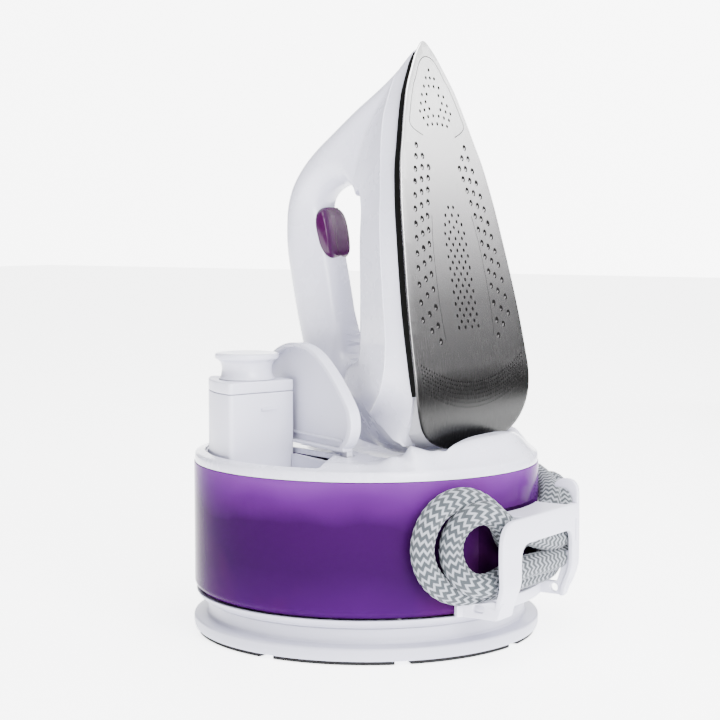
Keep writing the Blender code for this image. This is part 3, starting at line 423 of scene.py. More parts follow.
# ---- materials
class Nodes:
    """A material's node tree with short ways to add and link nodes."""

    def __init__(self, name, roughness=0.4, metallic=0.0):
        self.mat = bpy.data.materials.new(name)
        self.mat.use_nodes = True
        self.tree = self.mat.node_tree
        self.shader = self.tree.nodes["Principled BSDF"]
        self.shader.inputs["Roughness"].default_value = roughness
        self.shader.inputs["Metallic"].default_value = metallic
        self.place = self.tree.nodes.new("ShaderNodeTexCoord").outputs["Object"]

    def add(self, kind, inputs=(), **props):
        node = self.tree.nodes.new("ShaderNode" + kind)
        for key, value in props.items():
            setattr(node, key, value)
        for key, value in dict(inputs).items():
            self.put(node.inputs[key], value)
        return node

    def put(self, socket, value):
        if isinstance(value, bpy.types.NodeSocket):
            self.tree.links.new(value, socket)
        elif hasattr(socket.default_value, "__len__") and not isinstance(value, (int, float)):
            socket.default_value = (*value, 1.0)[:len(socket.default_value)]
        else:
            socket.default_value = value

    def set(self, name, value):
        self.put(self.shader.inputs[name], value)

    def even(self, values):
        """Shader sockets that are the same all over."""
        for name, value in values.items():
            self.shader.inputs[name].default_value = value

    def math(self, operation, a, b=0.0, clamp=False):
        return self.add("Math", {0: a, 1: b}, operation=operation, use_clamp=clamp).outputs[0]

    def noise(self, scale, detail=3.0, rough=0.5, place=None):
        node = self.add("TexNoise", {"Vector": place or self.place, "Scale": scale, "Detail": detail,
                                     "Roughness": rough})
        return node.outputs["Fac"]

    def scaled(self, factor):
        return self.add("Mapping", {"Vector": self.place, "Scale": factor}).outputs[0]

    def span(self, value, low, high, to_low, to_high):
        return self.add("MapRange", {"Value": value, "From Min": low, "From Max": high, "To Min": to_low,
                                     "To Max": to_high}).outputs["Result"]

    def ramp(self, value, stops):
        node = self.add("ValToRGB", {"Fac": value})
        ramp_stops = node.color_ramp.elements
        while len(ramp_stops) < len(stops):
            ramp_stops.new(0.5)
        for element, (at, colour) in zip(ramp_stops, stops):
            element.position = at
            element.color = (*colour, 1.0)
        return node.outputs["Color"]

    def mix(self, factor, a, b):
        node = self.add("Mix", data_type="RGBA")
        self.put(node.inputs["Factor"], factor)
        self.put(node.inputs["A"], a)
        self.put(node.inputs["B"], b)
        return node.outputs["Result"]

    def bump(self, height, distance):
        node = self.add("Bump", {"Height": height, "Distance": distance, "Strength": 1.0})
        self.set("Normal", node.outputs[0])


def plastic(name, colour, roughness, grain=0.00002, size=1400.0, spread=0.04, even=None):
    """Moulded plastic: faint mottling, uneven gloss and a fine eroded grain."""
    n = Nodes(name, roughness)
    cloud = n.noise(14.0, 2.0)
    dark = tuple(c * (1 - spread) for c in colour)
    n.set("Base Color", n.ramp(cloud, [(0.35, dark), (0.65, colour)]))
    smear = n.noise(45.0, 4.0, 0.6)
    n.set("Roughness", n.span(smear, 0.3, 0.7, roughness - 0.05, roughness + 0.07))
    n.bump(n.noise(size, 2.0), grain)
    n.even(even or {})
    return n.mat


def metal(name, colour, roughness):
    """Drawn or cast metal with streaks along one way."""
    n = Nodes(name, roughness, 1.0)
    streak = n.noise(60.0, 4.0, 0.6, n.scaled((1.0, 40.0, 1.0)))
    dark = tuple(c * 0.86 for c in colour)
    n.set("Base Color", n.ramp(streak, [(0.3, dark), (0.7, colour)]))
    n.set("Roughness", n.span(streak, 0.3, 0.7, roughness - 0.05, roughness + 0.08))
    n.bump(streak, 0.00001)
    return n.mat


GLOSS = "Specular IOR Level"
WHITE = (0.56, 0.56, 0.66)
white = plastic("white_plastic", WHITE, 0.30)
white_soft = plastic("white_satin", WHITE, 0.42, 0.00003, 1100.0)
body_white = plastic("body_white", WHITE, 0.26, 0.000012, 1500.0, 0.03,
                     {"Coat Weight": 0.25, "Coat Roughness": 0.08})
# The white made darker for the foot and tub: the darkening is painted shade.
painted_shade_white = plastic("painted_shade_white", (0.40, 0.40, 0.49), 0.40)
grey = plastic("grey_plastic", (0.34, 0.34, 0.37), 0.42)
dark = plastic("dark_plastic", (0.006, 0.006, 0.007), 0.6, 0.00004, 900.0, even={GLOSS: 0.12})
# Near-black painted shade for the band that fills the gap behind the soleplate's edge.
gap_painted_shade = plastic("gap_painted_shade_black", (0.003, 0.003, 0.003), 0.7, even={GLOSS: 0.04})
# Near-black painted shade for the insides of the soleplate's dimples and engraved lines.
sole_painted_shade = plastic("sole_painted_shade", (0.004, 0.004, 0.004), 0.7, even={GLOSS: 0.05})
rubber = plastic("rubber", (0.010, 0.010, 0.011), 0.8, 0.00006, 700.0, even={GLOSS: 0.15})
trigger_mat = plastic("trigger_plastic", (0.034, 0.0008, 0.034), 0.20, 0.000004, 500.0, 0.1,
                      {GLOSS: 0.30, "Coat Weight": 0.05, "Coat Roughness": 0.04})
lens = plastic("lens", (0.80, 0.38, 0.12), 0.12, even={"Transmission Weight": 0.4})
silicone = plastic("silicone_tube", (0.72, 0.72, 0.68), 0.5)
board = plastic("board", (0.02, 0.15, 0.06), 0.45)
grain = plastic("filter_grain", (0.45, 0.30, 0.12), 0.8, 0.0004, 500.0, 0.4)
alloy = metal("cast_alloy", (0.50, 0.50, 0.51), 0.5)
steel = metal("steel", (0.62, 0.62, 0.64), 0.28)
brass = metal("brass", (0.70, 0.48, 0.16), 0.32)
heater = metal("heater", (0.30, 0.25, 0.20), 0.5)


def piece(obj, name, body, nodes, mat, smooth=35, second=None):
    """Name a finished piece, give it its material, put it on its body and let it stand for CAD nodes.

    A second material goes on the faces that are marked for it.
    """
    marks = [p.material_index for p in obj.data.polygons] if second else ()
    obj.name = name
    obj.data.name = name
    obj.data.transform(obj.matrix_world)
    obj.matrix_world = Matrix.Identity(4)
    obj.data.shade_smooth()
    obj.data.set_sharp_from_angle(angle=radians(smooth))
    obj.data.materials.clear()
    obj.data.materials.append(mat)
    if second:
        obj.data.materials.append(second)
        obj.data.polygons.foreach_set("material_index", marks)
    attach(obj, body)
    if nodes:
        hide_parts(*([nodes] if isinstance(nodes, str) else nodes))
    return obj


# ---- the steam hose
HOSE_D = 0.0130
IRON_ORIGIN = Vector((0.0, 0.0828, 0.100))
IRON_TILT = radians(10.57)
IRON = frame_matrix(IRON_ORIGIN, Vector((1, 0, 0)), Vector((0, -sin(IRON_TILT), cos(IRON_TILT))),
                    Vector((0, -cos(IRON_TILT), -sin(IRON_TILT))))
HOSE_GLAND = radial_frame(181.0, 0.1084, 0.0385)
MAINS_GLAND = radial_frame(197.0, 0.1084, 0.0345)
RELIEF_FROM = IRON @ Vector((-0.0020, 0.0370, 0.0990))
RELIEF_AT = IRON @ Vector((-0.0140, 0.0375, 0.1180))

# The winding, as azimuth in degrees, distance from the axis and height in millimetres.
WINDING = [(166, 109.0, 38.5), (158, 107.8, 38.5), (145, 107, 38.6), (131, 106.8, 38.4), (118, 106.8, 38.2),
           (107, 105.6, 38.2), (98, 101.9, 38.2), (90, 100.9, 38.2), (82, 101.9, 38.4), (75, 104.6, 38.5),
           (69, 106.4, 38.2), (63, 106.9, 37.6), (56.2, 107, 40.4), (51.2, 107, 49.6), (49.3, 107, 62.7),
           (51.0, 107, 75.8), (55.2, 107, 85.4), (60.5, 107, 88.9), (65.5, 107, 87.6), (69.5, 107.6, 83.4),
           (73.0, 108.8, 77.4), (76.5, 109.8, 71.8), (81, 110.0, 68.4), (86, 109.4, 66.0),
           (91, 109.2, 63.0), (96, 109.8, 59.8), (101, 111.2, 57.8), (108, 113.6, 57.4), (115, 114.8, 59.4),
           (122, 115.6, 64.0), (129, 116.5, 70.6), (135, 117.2, 76.4), (141, 118, 78.6),
           (146.4, 118.8, 76.6), (150, 119.3, 69.9), (151.4, 119.5, 62.2), (150, 119.3, 54.5),
           (146.4, 119.0, 47.9), (141, 118.5, 45.8), (133, 117.8, 45.6), (122, 117.2, 46.0),
           (115, 116, 46.0), (108, 113.8, 46.0), (101, 111.2, 46.0), (95, 109.8, 46.4), (90, 109.4, 46.8),
           (84, 109.7, 47.0), (78, 111.6, 46.2), (73, 113.6, 44.8), (68.0, 115.2, 42.6),
           (62.6, 114.2, 43.4), (59.0, 110.8, 50.4), (57.7, 108.4, 61.2), (58.8, 109.4, 72.4),
           (62.4, 113.0, 80.6), (67.2, 115.0, 82.0), (71.4, 114.2, 77.4), (75, 110.8, 70.6),
           (79, 106.2, 64.2), (84, 102.2, 60.0), (90, 100.8, 60.2), (95, 101.2, 63.4), (100, 102.6, 66.0),
           (105, 104.8, 67.8), (109.5, 106.3, 70.8), (114, 106.8, 74.8), (119, 106.8, 78.0),
           (127, 106.8, 80.6), (136, 106.8, 82.8), (146, 106.9, 85.4), (156, 107.3, 87.6),
           (165, 108.0, 90.2), (174, 109.0, 93.4), (184, 111.0, 99.0), (197, 114.0, 105.0)]
FRONT_RUN = [(-0.0980, -0.0600, 0.1120), (-0.0720, -0.0720, 0.1150), (-0.0420, -0.0640, 0.1150)]


SMOOTHINGS = 24
RIB_HEIGHT = 0.00014


def hose_path():
    """From the base's gland through the winding to the iron's strain relief, smoothed."""
    start = HOSE_GLAND @ Vector((0, -0.0150, 0))
    out = HOSE_GLAND @ Vector((0, -0.0220, 0))
    way = (RELIEF_AT - RELIEF_FROM).normalized()
    points = [start, out, *[place_around(r * MM, a, z * MM) for a, r, z in WINDING], *FRONT_RUN,
              RELIEF_AT + way * 0.006, RELIEF_AT - way * 0.004]
    path = curve_through([tuple(p) for p in points], 0.0012)
    for _ in range(SMOOTHINGS):
        path[1:-1] = 0.5 * path[1:-1] + 0.25 * (path[:-2] + path[2:])
    return path


HOSE_PATH = hose_path()
WEAVE_PITCH = 0.0047
ZIGZAGS = 10
ZIG_DEPTH = 0.55


def hose_radius(along, angle):
    """The textile cover's ribs stand a little proud, in the same zigzag as the colours."""
    zig = np.abs(((angle / (2 * pi) * ZIGZAGS) % 1.0) - 0.5) * 2
    phase = 2 * pi * (along / WEAVE_PITCH + zig * ZIG_DEPTH)
    return HOSE_D / 2 - 0.00012 + RIB_HEIGHT * np.sin(phase) + 0.00005 * np.sin(phase * 2 + 1.0)


def hose_material():
    """Textile with light and dark zigzag stripes, single yarns and fine fuzz."""
    n = Nodes("hose_fabric", 0.86)
    uv = n.add("UVMap", uv_map="weave").outputs[0]
    parts = n.add("SeparateXYZ", {0: uv})
    across = n.math("MULTIPLY", parts.outputs[0], float(ZIGZAGS))
    zig = n.math("MULTIPLY", n.math("ABSOLUTE", n.math("SUBTRACT", n.math("FRACT", across), 0.5)), 2.0)
    along = n.math("ADD", parts.outputs[1], n.math("MULTIPLY", zig, ZIG_DEPTH))
    wobble = n.math("MULTIPLY", n.math("SUBTRACT", n.noise(700.0, 2.0), 0.5), 0.10)
    phase = n.math("FRACT", n.math("ADD", n.math("ADD", along, wobble), 40.0))
    stripe = n.ramp(phase, [(0.0, (0.18, 0.20, 0.22)), (0.06, (0.42, 0.44, 0.50)),
                            (0.36, (0.44, 0.46, 0.52)), (0.44, (0.034, 0.044, 0.054)),
                            (0.93, (0.022, 0.030, 0.038)), (1.0, (0.18, 0.20, 0.22))])
    yarn_across = n.math("SINE", n.math("MULTIPLY", parts.outputs[0], 2 * pi * ZIGZAGS * 4))
    yarn_along = n.math("SINE", n.math("MULTIPLY", along, 2 * pi * 5))
    yarn = n.math("MULTIPLY", yarn_across, yarn_along)
    fuzz = n.noise(2600.0, 2.0)
    shade = n.math("ADD", n.math("MULTIPLY", yarn, 0.12), n.math("MULTIPLY", fuzz, 0.25))
    n.set("Base Color", n.mix(n.math("ADD", shade, 0.18, True), stripe, (0.06, 0.07, 0.08)))
    n.bump(n.math("ADD", yarn, n.math("MULTIPLY", fuzz, 0.8)), 0.00018)
    n.even({"Sheen Weight": 0.08, "Sheen Roughness": 0.5})
    return n.mat


hose = sweep("steam_hose", HOSE_PATH, hose_radius, 60, WEAVE_PITCH)
piece(hose, "steam_hose", "base", ["steam_hose_coil", "steam_hose_base_end", "steam_hose_iron_end"],
      hose_material(), 60)


def ribbed(name, start, end, radius, radius_end, ribs):
    """A tapered strain relief with soft ribs and a rounded mouth, from start to end."""
    a, b = Vector(start), Vector(end)
    length = (b - a).length
    rows = [(0.0, 0.0)]
    count = ribs * 8
    for i in range(count + 1):
        u = i / count
        base = radius + (radius_end - radius) * u
        rib = 0.0005 * (1 - cos(2 * pi * ribs * u)) * (1 - 0.3 * u)
        rows.append((base - rib, u * length))
    rows.append((radius_end - 0.0009, length + 0.0004))
    rows.append((0.0, length + 0.0004))
    turn = Matrix.Translation(a) @ (b - a).to_track_quat("Z", "Y").to_matrix().to_4x4()
    return turned(name, rows, 48, turn)


# ---- glands and strain reliefs
def make_gland(name, at, radius, way, mat):
    """A boss on the tank's wall with a ribbed sleeve; way is -1 or 1 for the sleeve's direction."""
    section = round_outline(rectangle(-0.0120, -0.0085, 0.0088, 0.0085), 0.003)
    boss = plate(name, section, -0.0090, 0.0090, at, (), 0.0022, 4)
    boss = combine(boss, turned("cut", rectangle_profile(0.1002, -0.1, 0.2), 180))
    sleeve = ribbed("sleeve", at @ Vector((0, 0.0060 * way, 0)), at @ Vector((0, 0.0190 * way, 0)), radius,
                    radius * 0.88, 4)
    return piece(joined(name, boss, sleeve), name + "_moulding", "base", name, mat)


hose_gland = make_gland("hose_gland", HOSE_GLAND, 0.0094, -1, white_soft)
make_gland("mains_gland", MAINS_GLAND, 0.0050, 1, dark)
relief = ribbed("hose_relief", RELIEF_FROM, RELIEF_AT, 0.0094, 0.0078, 5)
piece(relief, "hose_relief_sleeve", "iron", "hose_relief", grey)


# ---- soleplate
# Half-width of the soleplate along its length from the heel (millimetres).
SOLE_HALF = [(10.8, 6.0), (11.4, 14.0), (13.0, 26.0), (15.6, 37.0), (19.4, 46.8), (24.5, 54.0),
             (31.0, 58.6), (38.0, 61.2), (45.0, 62.3), (52.0, 62.4), (60.0, 62.0), (80.0, 60.6),
             (98.0, 58.5), (119.5, 55.1), (134.0, 52.6), (145.0, 50.6), (157.0, 47.8), (171.0, 43.8),
             (184.0, 38.3), (195.5, 33.4), (205.5, 28.9), (212.5, 25.3), (218.0, 21.6), (225.0, 16.4),
             (232.0, 11.0), (236.0, 7.0), (239.0, 3.6), (240.2, 1.6)]
# How far the face bends away at the heel, by the same length.
SOLE_BACK = [(10.0, 9.3), (12.5, 9.0), (15.0, 8.4), (19.0, 7.2), (24.5, 5.6), (31.0, 3.6), (38.0, 1.9),
             (45.0, 0.8), (52.0, 0.15), (60.0, 0.0), (245.0, 0.0)]
SOLE_TIP = 240.6
SOLE_THICK = 1.3
# Rings from the face round its edge to the back: inset from the outline, height from the face.
SOLE_EDGE = ((0.45, 0.07), (0.2, 0.24), (0.04, 0.5), (0.0, 0.8), (0.0, SOLE_THICK - 0.3), (0.3, SOLE_THICK))
# Rings of a dimple: share of its radius, share of its depth.
BIG_DIMPLE = ((0.95, 0.12), (0.86, 0.60), (0.50, 1.0))
SMALL_DIMPLE = ((0.92, 0.10), (0.78, 0.9))
BIG_DEPTH = 0.8
LINE_POINTS = 20
# Dimples as (across, along): three columns for each side, then the tip's field. Engraved lines follow.
SIDE_HOLES = [[(26.0, 180.3), (28.2, 174), (30.9, 166.9), (33.3, 160), (35.5, 152.3), (37.5, 144.8),
               (39.3, 136.6), (40.9, 128.7), (42.5, 120.3), (44, 112.3), (45.4, 103.4), (46.4, 93.6),
               (47.1, 84.1)],
              [(21.4, 174.3), (23.6, 168.1), (26.2, 161.3), (28.3, 154.2), (30.5, 146.8), (32.2, 139.2),
               (33.9, 131.2), (35.4, 123), (36.9, 114.8), (37.9, 106.3), (38.8, 97.3), (39.4, 87),
               (39.4, 77.9)],
              [(16.8, 168.2), (19, 162.1), (21.4, 155.5), (23.4, 148.4), (26, 140.9), (27.2, 133.1),
               (28.8, 125.3), (29.9, 117.4), (31.4, 108.7), (31.9, 100.4), (32, 90.5), (32.5, 80.5),
               (31.9, 71.6)]]
TIP_HOLES = [(0.0, 223.8), (4.4, 219.1), (0.0, 219.2), (7.9, 214.1), (2.6, 214.5), (11.5, 209.1),
             (6.3, 209.6), (14.0, 204.1), (8.8, 205.2), (16.3, 199.6), (11.4, 200.5), (6.0, 201.5),
             (13.6, 195.8), (8.5, 196.9), (3.0, 197.6), (10.4, 192.1), (5.4, 192.8), (0.0, 193.1)]
TIP_LINE = [(-17, 186), (-25, 189), (-28.6, 191.6), (-29, 193.5), (-27.3, 197.8), (-23.4, 206),
            (-18.6, 214.6), (-15, 219), (-9.8, 226.5), (-5, 230.3), (0, 231.4)]
SIDE_LINE = ((21.5, 141), (24.5, 128), (26.4, 113), (27.4, 98), (27.6, 84), (26.6, 72))


def sole_outline(inset=0.0, step=1.6):
    side = [(w, l) for l, w in SOLE_HALF]
    ring = curve_through([*side, (0.0, SOLE_TIP), *[(-w, l) for w, l in side[::-1]]], step, True)
    return offset_line(ring, inset, True) if inset else ring


def circle(x, y, r, count):
    return [(x + r * cos(2 * pi * k / count), y + r * sin(2 * pi * k / count)) for k in range(count)]


def sole_holes():
    """(x, l, radius, depth) of every dimple in the soleplate's face."""
    holes = []
    for column in SIDE_HOLES:
        holes += [(s * x, l, 1.85, 0.9) for x, l in column for s in (-1, 1)]
    # The centre field: a loose start, then staggered rows.
    centre = [(0.0, 141.2), (7, 141.2), (4, 137.5), (9, 135.9), (0.0, 134.3), (4.4, 131.7), (10.4, 131),
              (0.0, 128), (7, 128), (2.7, 145.7)]
    for row in range(15):
        l = 124.6 - 3.32 * row
        centre += [(3.6, l), (10.7, l)] if row % 2 == 0 else [(0.0, l), (7.0, l)]
    holes += [(s * x, l, 1.10, 0.6) for x, l in centre for s in ((-1, 1) if x else (1,))]
    holes += [(s * x, l, 1.05, 0.6) for x, l in TIP_HOLES for s in ((-1, 1) if x else (1,))]
    # The heel's band of fine dimples, in rows that sag towards the middle.
    for row in range(7):
        count = 46 - row % 2
        for k in range(count + 1):
            u = 2 * k / count - 1
            x = u * 55.4
            l = 60.0 - 12.6 * (1 - u * u) - 2.3 * row
            if abs(x) < table(SOLE_HALF, l) - 4:
                holes.append((x, l, 0.60 - 0.03 * row, 0.3))
    return holes


def groove(line, width):
    """A closed thin outline along a line, for an engraved mark."""
    line = np.array(line, float)
    return np.vstack([offset_line(line, width / 2), offset_line(line, -width / 2)[::-1]])


def to_iron(x, l, h):
    """Millimetres across, along and away from the soleplate's face, to places in the iron's frame."""
    pts = np.stack(np.broadcast_arrays(np.asarray(x, float), l, h), -1) * MM
    m = np.array(IRON)
    return pts @ m[:3, :3].T + m[:3, 3]


def sole_marks():
    """Outline and depth of every dimple and engraved line in the face."""
    marks = [(np.array(circle(x, l, r, 16 if r > 1 else 12 if r > 0.5 else 7)), d)
             for x, l, r, d in sole_holes()]
    tip_line = [*TIP_LINE, *[(-x, l) for x, l in TIP_LINE[-2::-1]]]
    marks.append((groove(curve_through(tip_line, 1.5), 0.55), 0.35))
    for s in (-1, 1):
        marks.append((groove(curve_through([(s * x, l) for x, l in SIDE_LINE], 2.0), 0.4), 0.25))
    return marks


class SoleMesh:
    """The soleplate's vertices (across, along, depth) and faces, gathered ring by ring."""

    def __init__(self, points, tris):
        self.points, self.verts, self.faces, self.dark = points, [], [tuple(t) for t in tris], set()
        self.total = 0
        self.ring(points, 0.0)

    def ring(self, plan, depth):
        self.verts.append(np.column_stack([plan, np.full(len(plan), depth)]))
        self.total += len(plan)
        return list(range(self.total - len(plan), self.total))

    def find(self, plan):
        """The face's own vertices at a ring's places."""
        return [int(np.argmin(((self.points - p) ** 2).sum(1))) for p in plan]

    # Faces marked here get the near-black painted shade.
    def painted_shade_face(self, face):
        self.dark.add(tuple(sorted(face)))
        self.faces.append(face)

    def engrave(self, plan, depth):
        """A V-shaped line: its two banks meet in one line of vertices and get the near-black painted shade.
        """
        half = len(plan) // 2
        bed = self.ring(0.5 * (plan[:half] + plan[::-1][:half]), depth)
        for b, a, below_a, below_b in belt(self.find(plan), bed + bed[::-1]):
            self.painted_shade_face((a, b, below_b, below_a) if below_a != below_b else (a, b, below_b))

    def sink(self, plan, depth):
        """A dimple whose bed is shifted a little, coloured with near-black painted shade but for the lower
        bank of a big one, which stays bare metal as the lit side.
        """
        centre = plan.mean(0)
        big = depth > BIG_DEPTH
        shift = np.array([0.30, 0.20]) * (1.0 if big else 0.25)
        last = self.find(plan)
        for scale, share in BIG_DIMPLE if big else SMALL_DIMPLE:
            now = self.ring(centre + (plan - centre) * scale + shift * share, depth * share)
            for (b, a, below_a, below_b), away in zip(belt(last, now), plan - centre):
                face = (a, b, below_b, below_a)
                # Only a sector of a big dimple's deep bank, on the lit lower side, keeps the metal; every
                # other dimple face gets painted shade.
                if big and share > 0.9 and away[0] * 0.6 + away[1] <= -0.60 * hypot(*away):
                    self.faces.append(face)
                else:
                    self.painted_shade_face(face)
            last = now
        self.painted_shade_face(tuple(last[::-1]))


def sole_metal():
    """Brushed metal whose colour is painted dark at the heel and pale at the tip: a painted reflection of a
    graded room.
    """
    n = Nodes("sole_metal", 0.24, 1.0)
    along = n.add("SeparateXYZ", {0: n.place}).outputs[2]
    haze = n.noise(7.0, 2.0)
    streak = n.noise(300.0, 3.0, 0.6, n.scaled((14.0, 0.4, 0.4)))
    # Painted reflection: the base colour runs from near black at the heel to pale at the tip.
    painted_reflection = n.ramp(n.span(along, 0.11, 0.335, 0.0, 1.0), [
        (0.0, (0.006, 0.006, 0.006)), (0.11, (0.009, 0.009, 0.009)), (0.150, (0.050, 0.049, 0.050)),
        (0.20, (0.18, 0.176, 0.18)), (0.36, (0.20, 0.196, 0.20)), (0.55, (0.50, 0.49, 0.50)),
        (0.72, (0.84, 0.83, 0.84)), (0.86, (0.93, 0.93, 0.93))])
    n.set("Base Color", n.mix(n.span(streak, 0.3, 0.7, 0.0, 0.12), painted_reflection, (0.02, 0.02, 0.02)))
    gloss = n.span(streak, 0.3, 0.7, 0.20, 0.28)
    n.set("Roughness", n.math("ADD", gloss, n.span(haze, 0.3, 0.7, -0.02, 0.04)))
    n.bump(streak, 0.0000008)
    return n.mat


def make_soleplate():
    """One closed plate: dimpled face, round edge and plain back, bent away at the heel."""
    marks = sole_marks()
    outer = sole_outline(0.7)
    bend = np.array([(x, l) for l in np.arange(12.0, 62.0, 2.4) for x in np.arange(-60, 61, 2.6)])
    wide = np.array([(x, l) for l in np.arange(62, 240, 7.0) for x in np.arange(-60, 61, 7.0)])
    sole = SoleMesh(*fill(outer, [plan for plan, _ in marks], (), (bend, wide), 0.55))
    for plan, depth in marks:
        if len(plan) > LINE_POINTS:
            sole.engrave(plan, depth)
        else:
            sole.sink(plan, depth)
    last = sole.find(outer)
    for inset, height in SOLE_EDGE:
        plan = sole_outline(inset)[:len(outer)]
        now = sole.ring(plan, height)
        sole.faces += belt(last, now)
        last = now
    back_points, back_tris = fill(plan, (), (), (wide, bend), 0.55)
    sole.faces += [tuple(t[::-1] + sole.total) for t in back_tris]
    sole.ring(back_points, SOLE_THICK)
    x, l, h = np.vstack(sole.verts).T
    obj = mesh_object("sole", to_iron(x, l, h + table(SOLE_BACK, l)), sole.faces)
    # Faces in sole.dark take the second material, the painted shade.
    for polygon in obj.data.polygons:
        polygon.material_index = int(tuple(sorted(polygon.vertices)) in sole.dark)
    weld(obj, 2e-6)
    piece(obj, "soleplate_face", "iron", "soleplate", sole_metal(), 28, sole_painted_shade)


# ---- iron body
# All in millimetres, with along counted from the heel and away counted from the soleplate's face.
# The body's outline in its middle plane, as (along, away): top and handle, heel, rim and handle opening.
BODY_OUT = [(237.2, 5.4), (236.2, 8.4), (233.6, 12.0), (230.2, 16.0), (226.2, 20.9), (219.4, 33.0),
            (212.2, 48.0), (203.9, 63.8), (195.5, 79.4), (187.2, 91.2), (178.0, 99.8), (167.3, 105.6),
            (156.0, 108.8), (141.7, 111.0), (123.9, 111.4), (105.7, 111.2), (90.6, 110.6), (72.0, 109.2),
            (56.0, 106.4), (44.0, 102.4), (34.5, 96.5), (27.5, 89.0), (22.8, 81.0), (19.4, 72.5)]
BODY_HEEL = [(16.4, 65.0), (13.6, 57.0), (12.0, 48.0), (11.5, 40.0), (11.6, 32.0), (13.2, 26.4),
             (17.0, 23.4)]
BODY_RIM = [(24.0, 19.4), (29.0, 15.6), (36.0, 11.2), (44.6, 7.6), (51.0, 5.9), (58.0, 5.1), (90.0, 5.0),
            (150.0, 5.0), (200.0, 5.0), (225.0, 5.0)]
OPENING = [(162.0, 50.0), (166.2, 53.0), (169.6, 58.0), (171.0, 64.4), (170.0, 70.6), (167.6, 75.6),
           (164.4, 78.8), (160.4, 80.2), (155.0, 79.8), (142.0, 78.6), (128.0, 77.6), (110.0, 77.3),
           (92.0, 77.4), (80.0, 77.4), (74.4, 76.2), (70.6, 72.6), (69.2, 68.0)]
# Half-widths by along: the rim, then the flank where the crease would be at CREASE_AT.
RIM_HALF = [(17, 44.0), (24, 51.0), (29, 53.0), (36, 55.0), (44.6, 56.6), (56, 56.6), (75, 55.4),
            (88, 53.6), (106, 51.6), (128.5, 48.3), (144, 44.8), (155, 41.8), (171, 35.6), (188, 28.8),
            (205, 20.0), (214, 13.4), (222, 7.6), (230, 3.0), (237.2, 0.2)]
FLANK = [(12, 50.0), (20, 56.0), (30, 58.0), (38, 59.5), (42, 60.0), (48, 61.2), (55, 61.8), (65, 60.2),
         (74.8, 58.4), (98.9, 54.3), (130.8, 48.2), (144.4, 44.6), (155, 41.0), (172.9, 35.6), (188, 30.6),
         (201, 24.7), (214, 15.4), (222.2, 9.1), (230, 4.2), (237.2, 0.4)]
# Heights away from the face by along: the crease between skirt and flank, the edge and the crown of the deck
# below the handle. Then the nose's least half-width.
CREASE = [(18.8, 23.0), (24, 29.5), (28.4, 35.0), (33, 40.8), (38.1, 46.6), (42, 40.6), (48, 31.0),
          (55, 24.5), (65, 20.3), (74.8, 18.6), (98.9, 18.4), (144.4, 18.5), (200, 18.5), (215, 18.4),
          (228.0, 18.0)]
DECK_EDGE = [(40, 66.0), (57.5, 54.9), (77, 47.3), (101, 43.8), (127.3, 42.2), (133, 42.0), (153.9, 41.6),
             (164.9, 45.0), (172.3, 50.0), (180, 53.0)]
DECK_CROWN = [(40, 72.0), (59, 68.0), (75, 64.5), (90, 61.4), (106, 58.4), (122, 56.0), (139, 53.4),
              (155, 50.8), (164.9, 49.8), (176.2, 50.0), (188, 52.0)]
NOSE_HALF = [(12, 15.0), (150, 15.0), (185, 15.0), (196, 14.8), (205, 14.2), (215, 12.0), (222, 9.2),
             (230, 5.4), (234, 3.0), (237.2, 0.6)]
FLANK_SLOPE = 0.65
CREASE_AT = 18.5
GRIP_ROUND = 14.0
EDGE_ROUND = 2.4


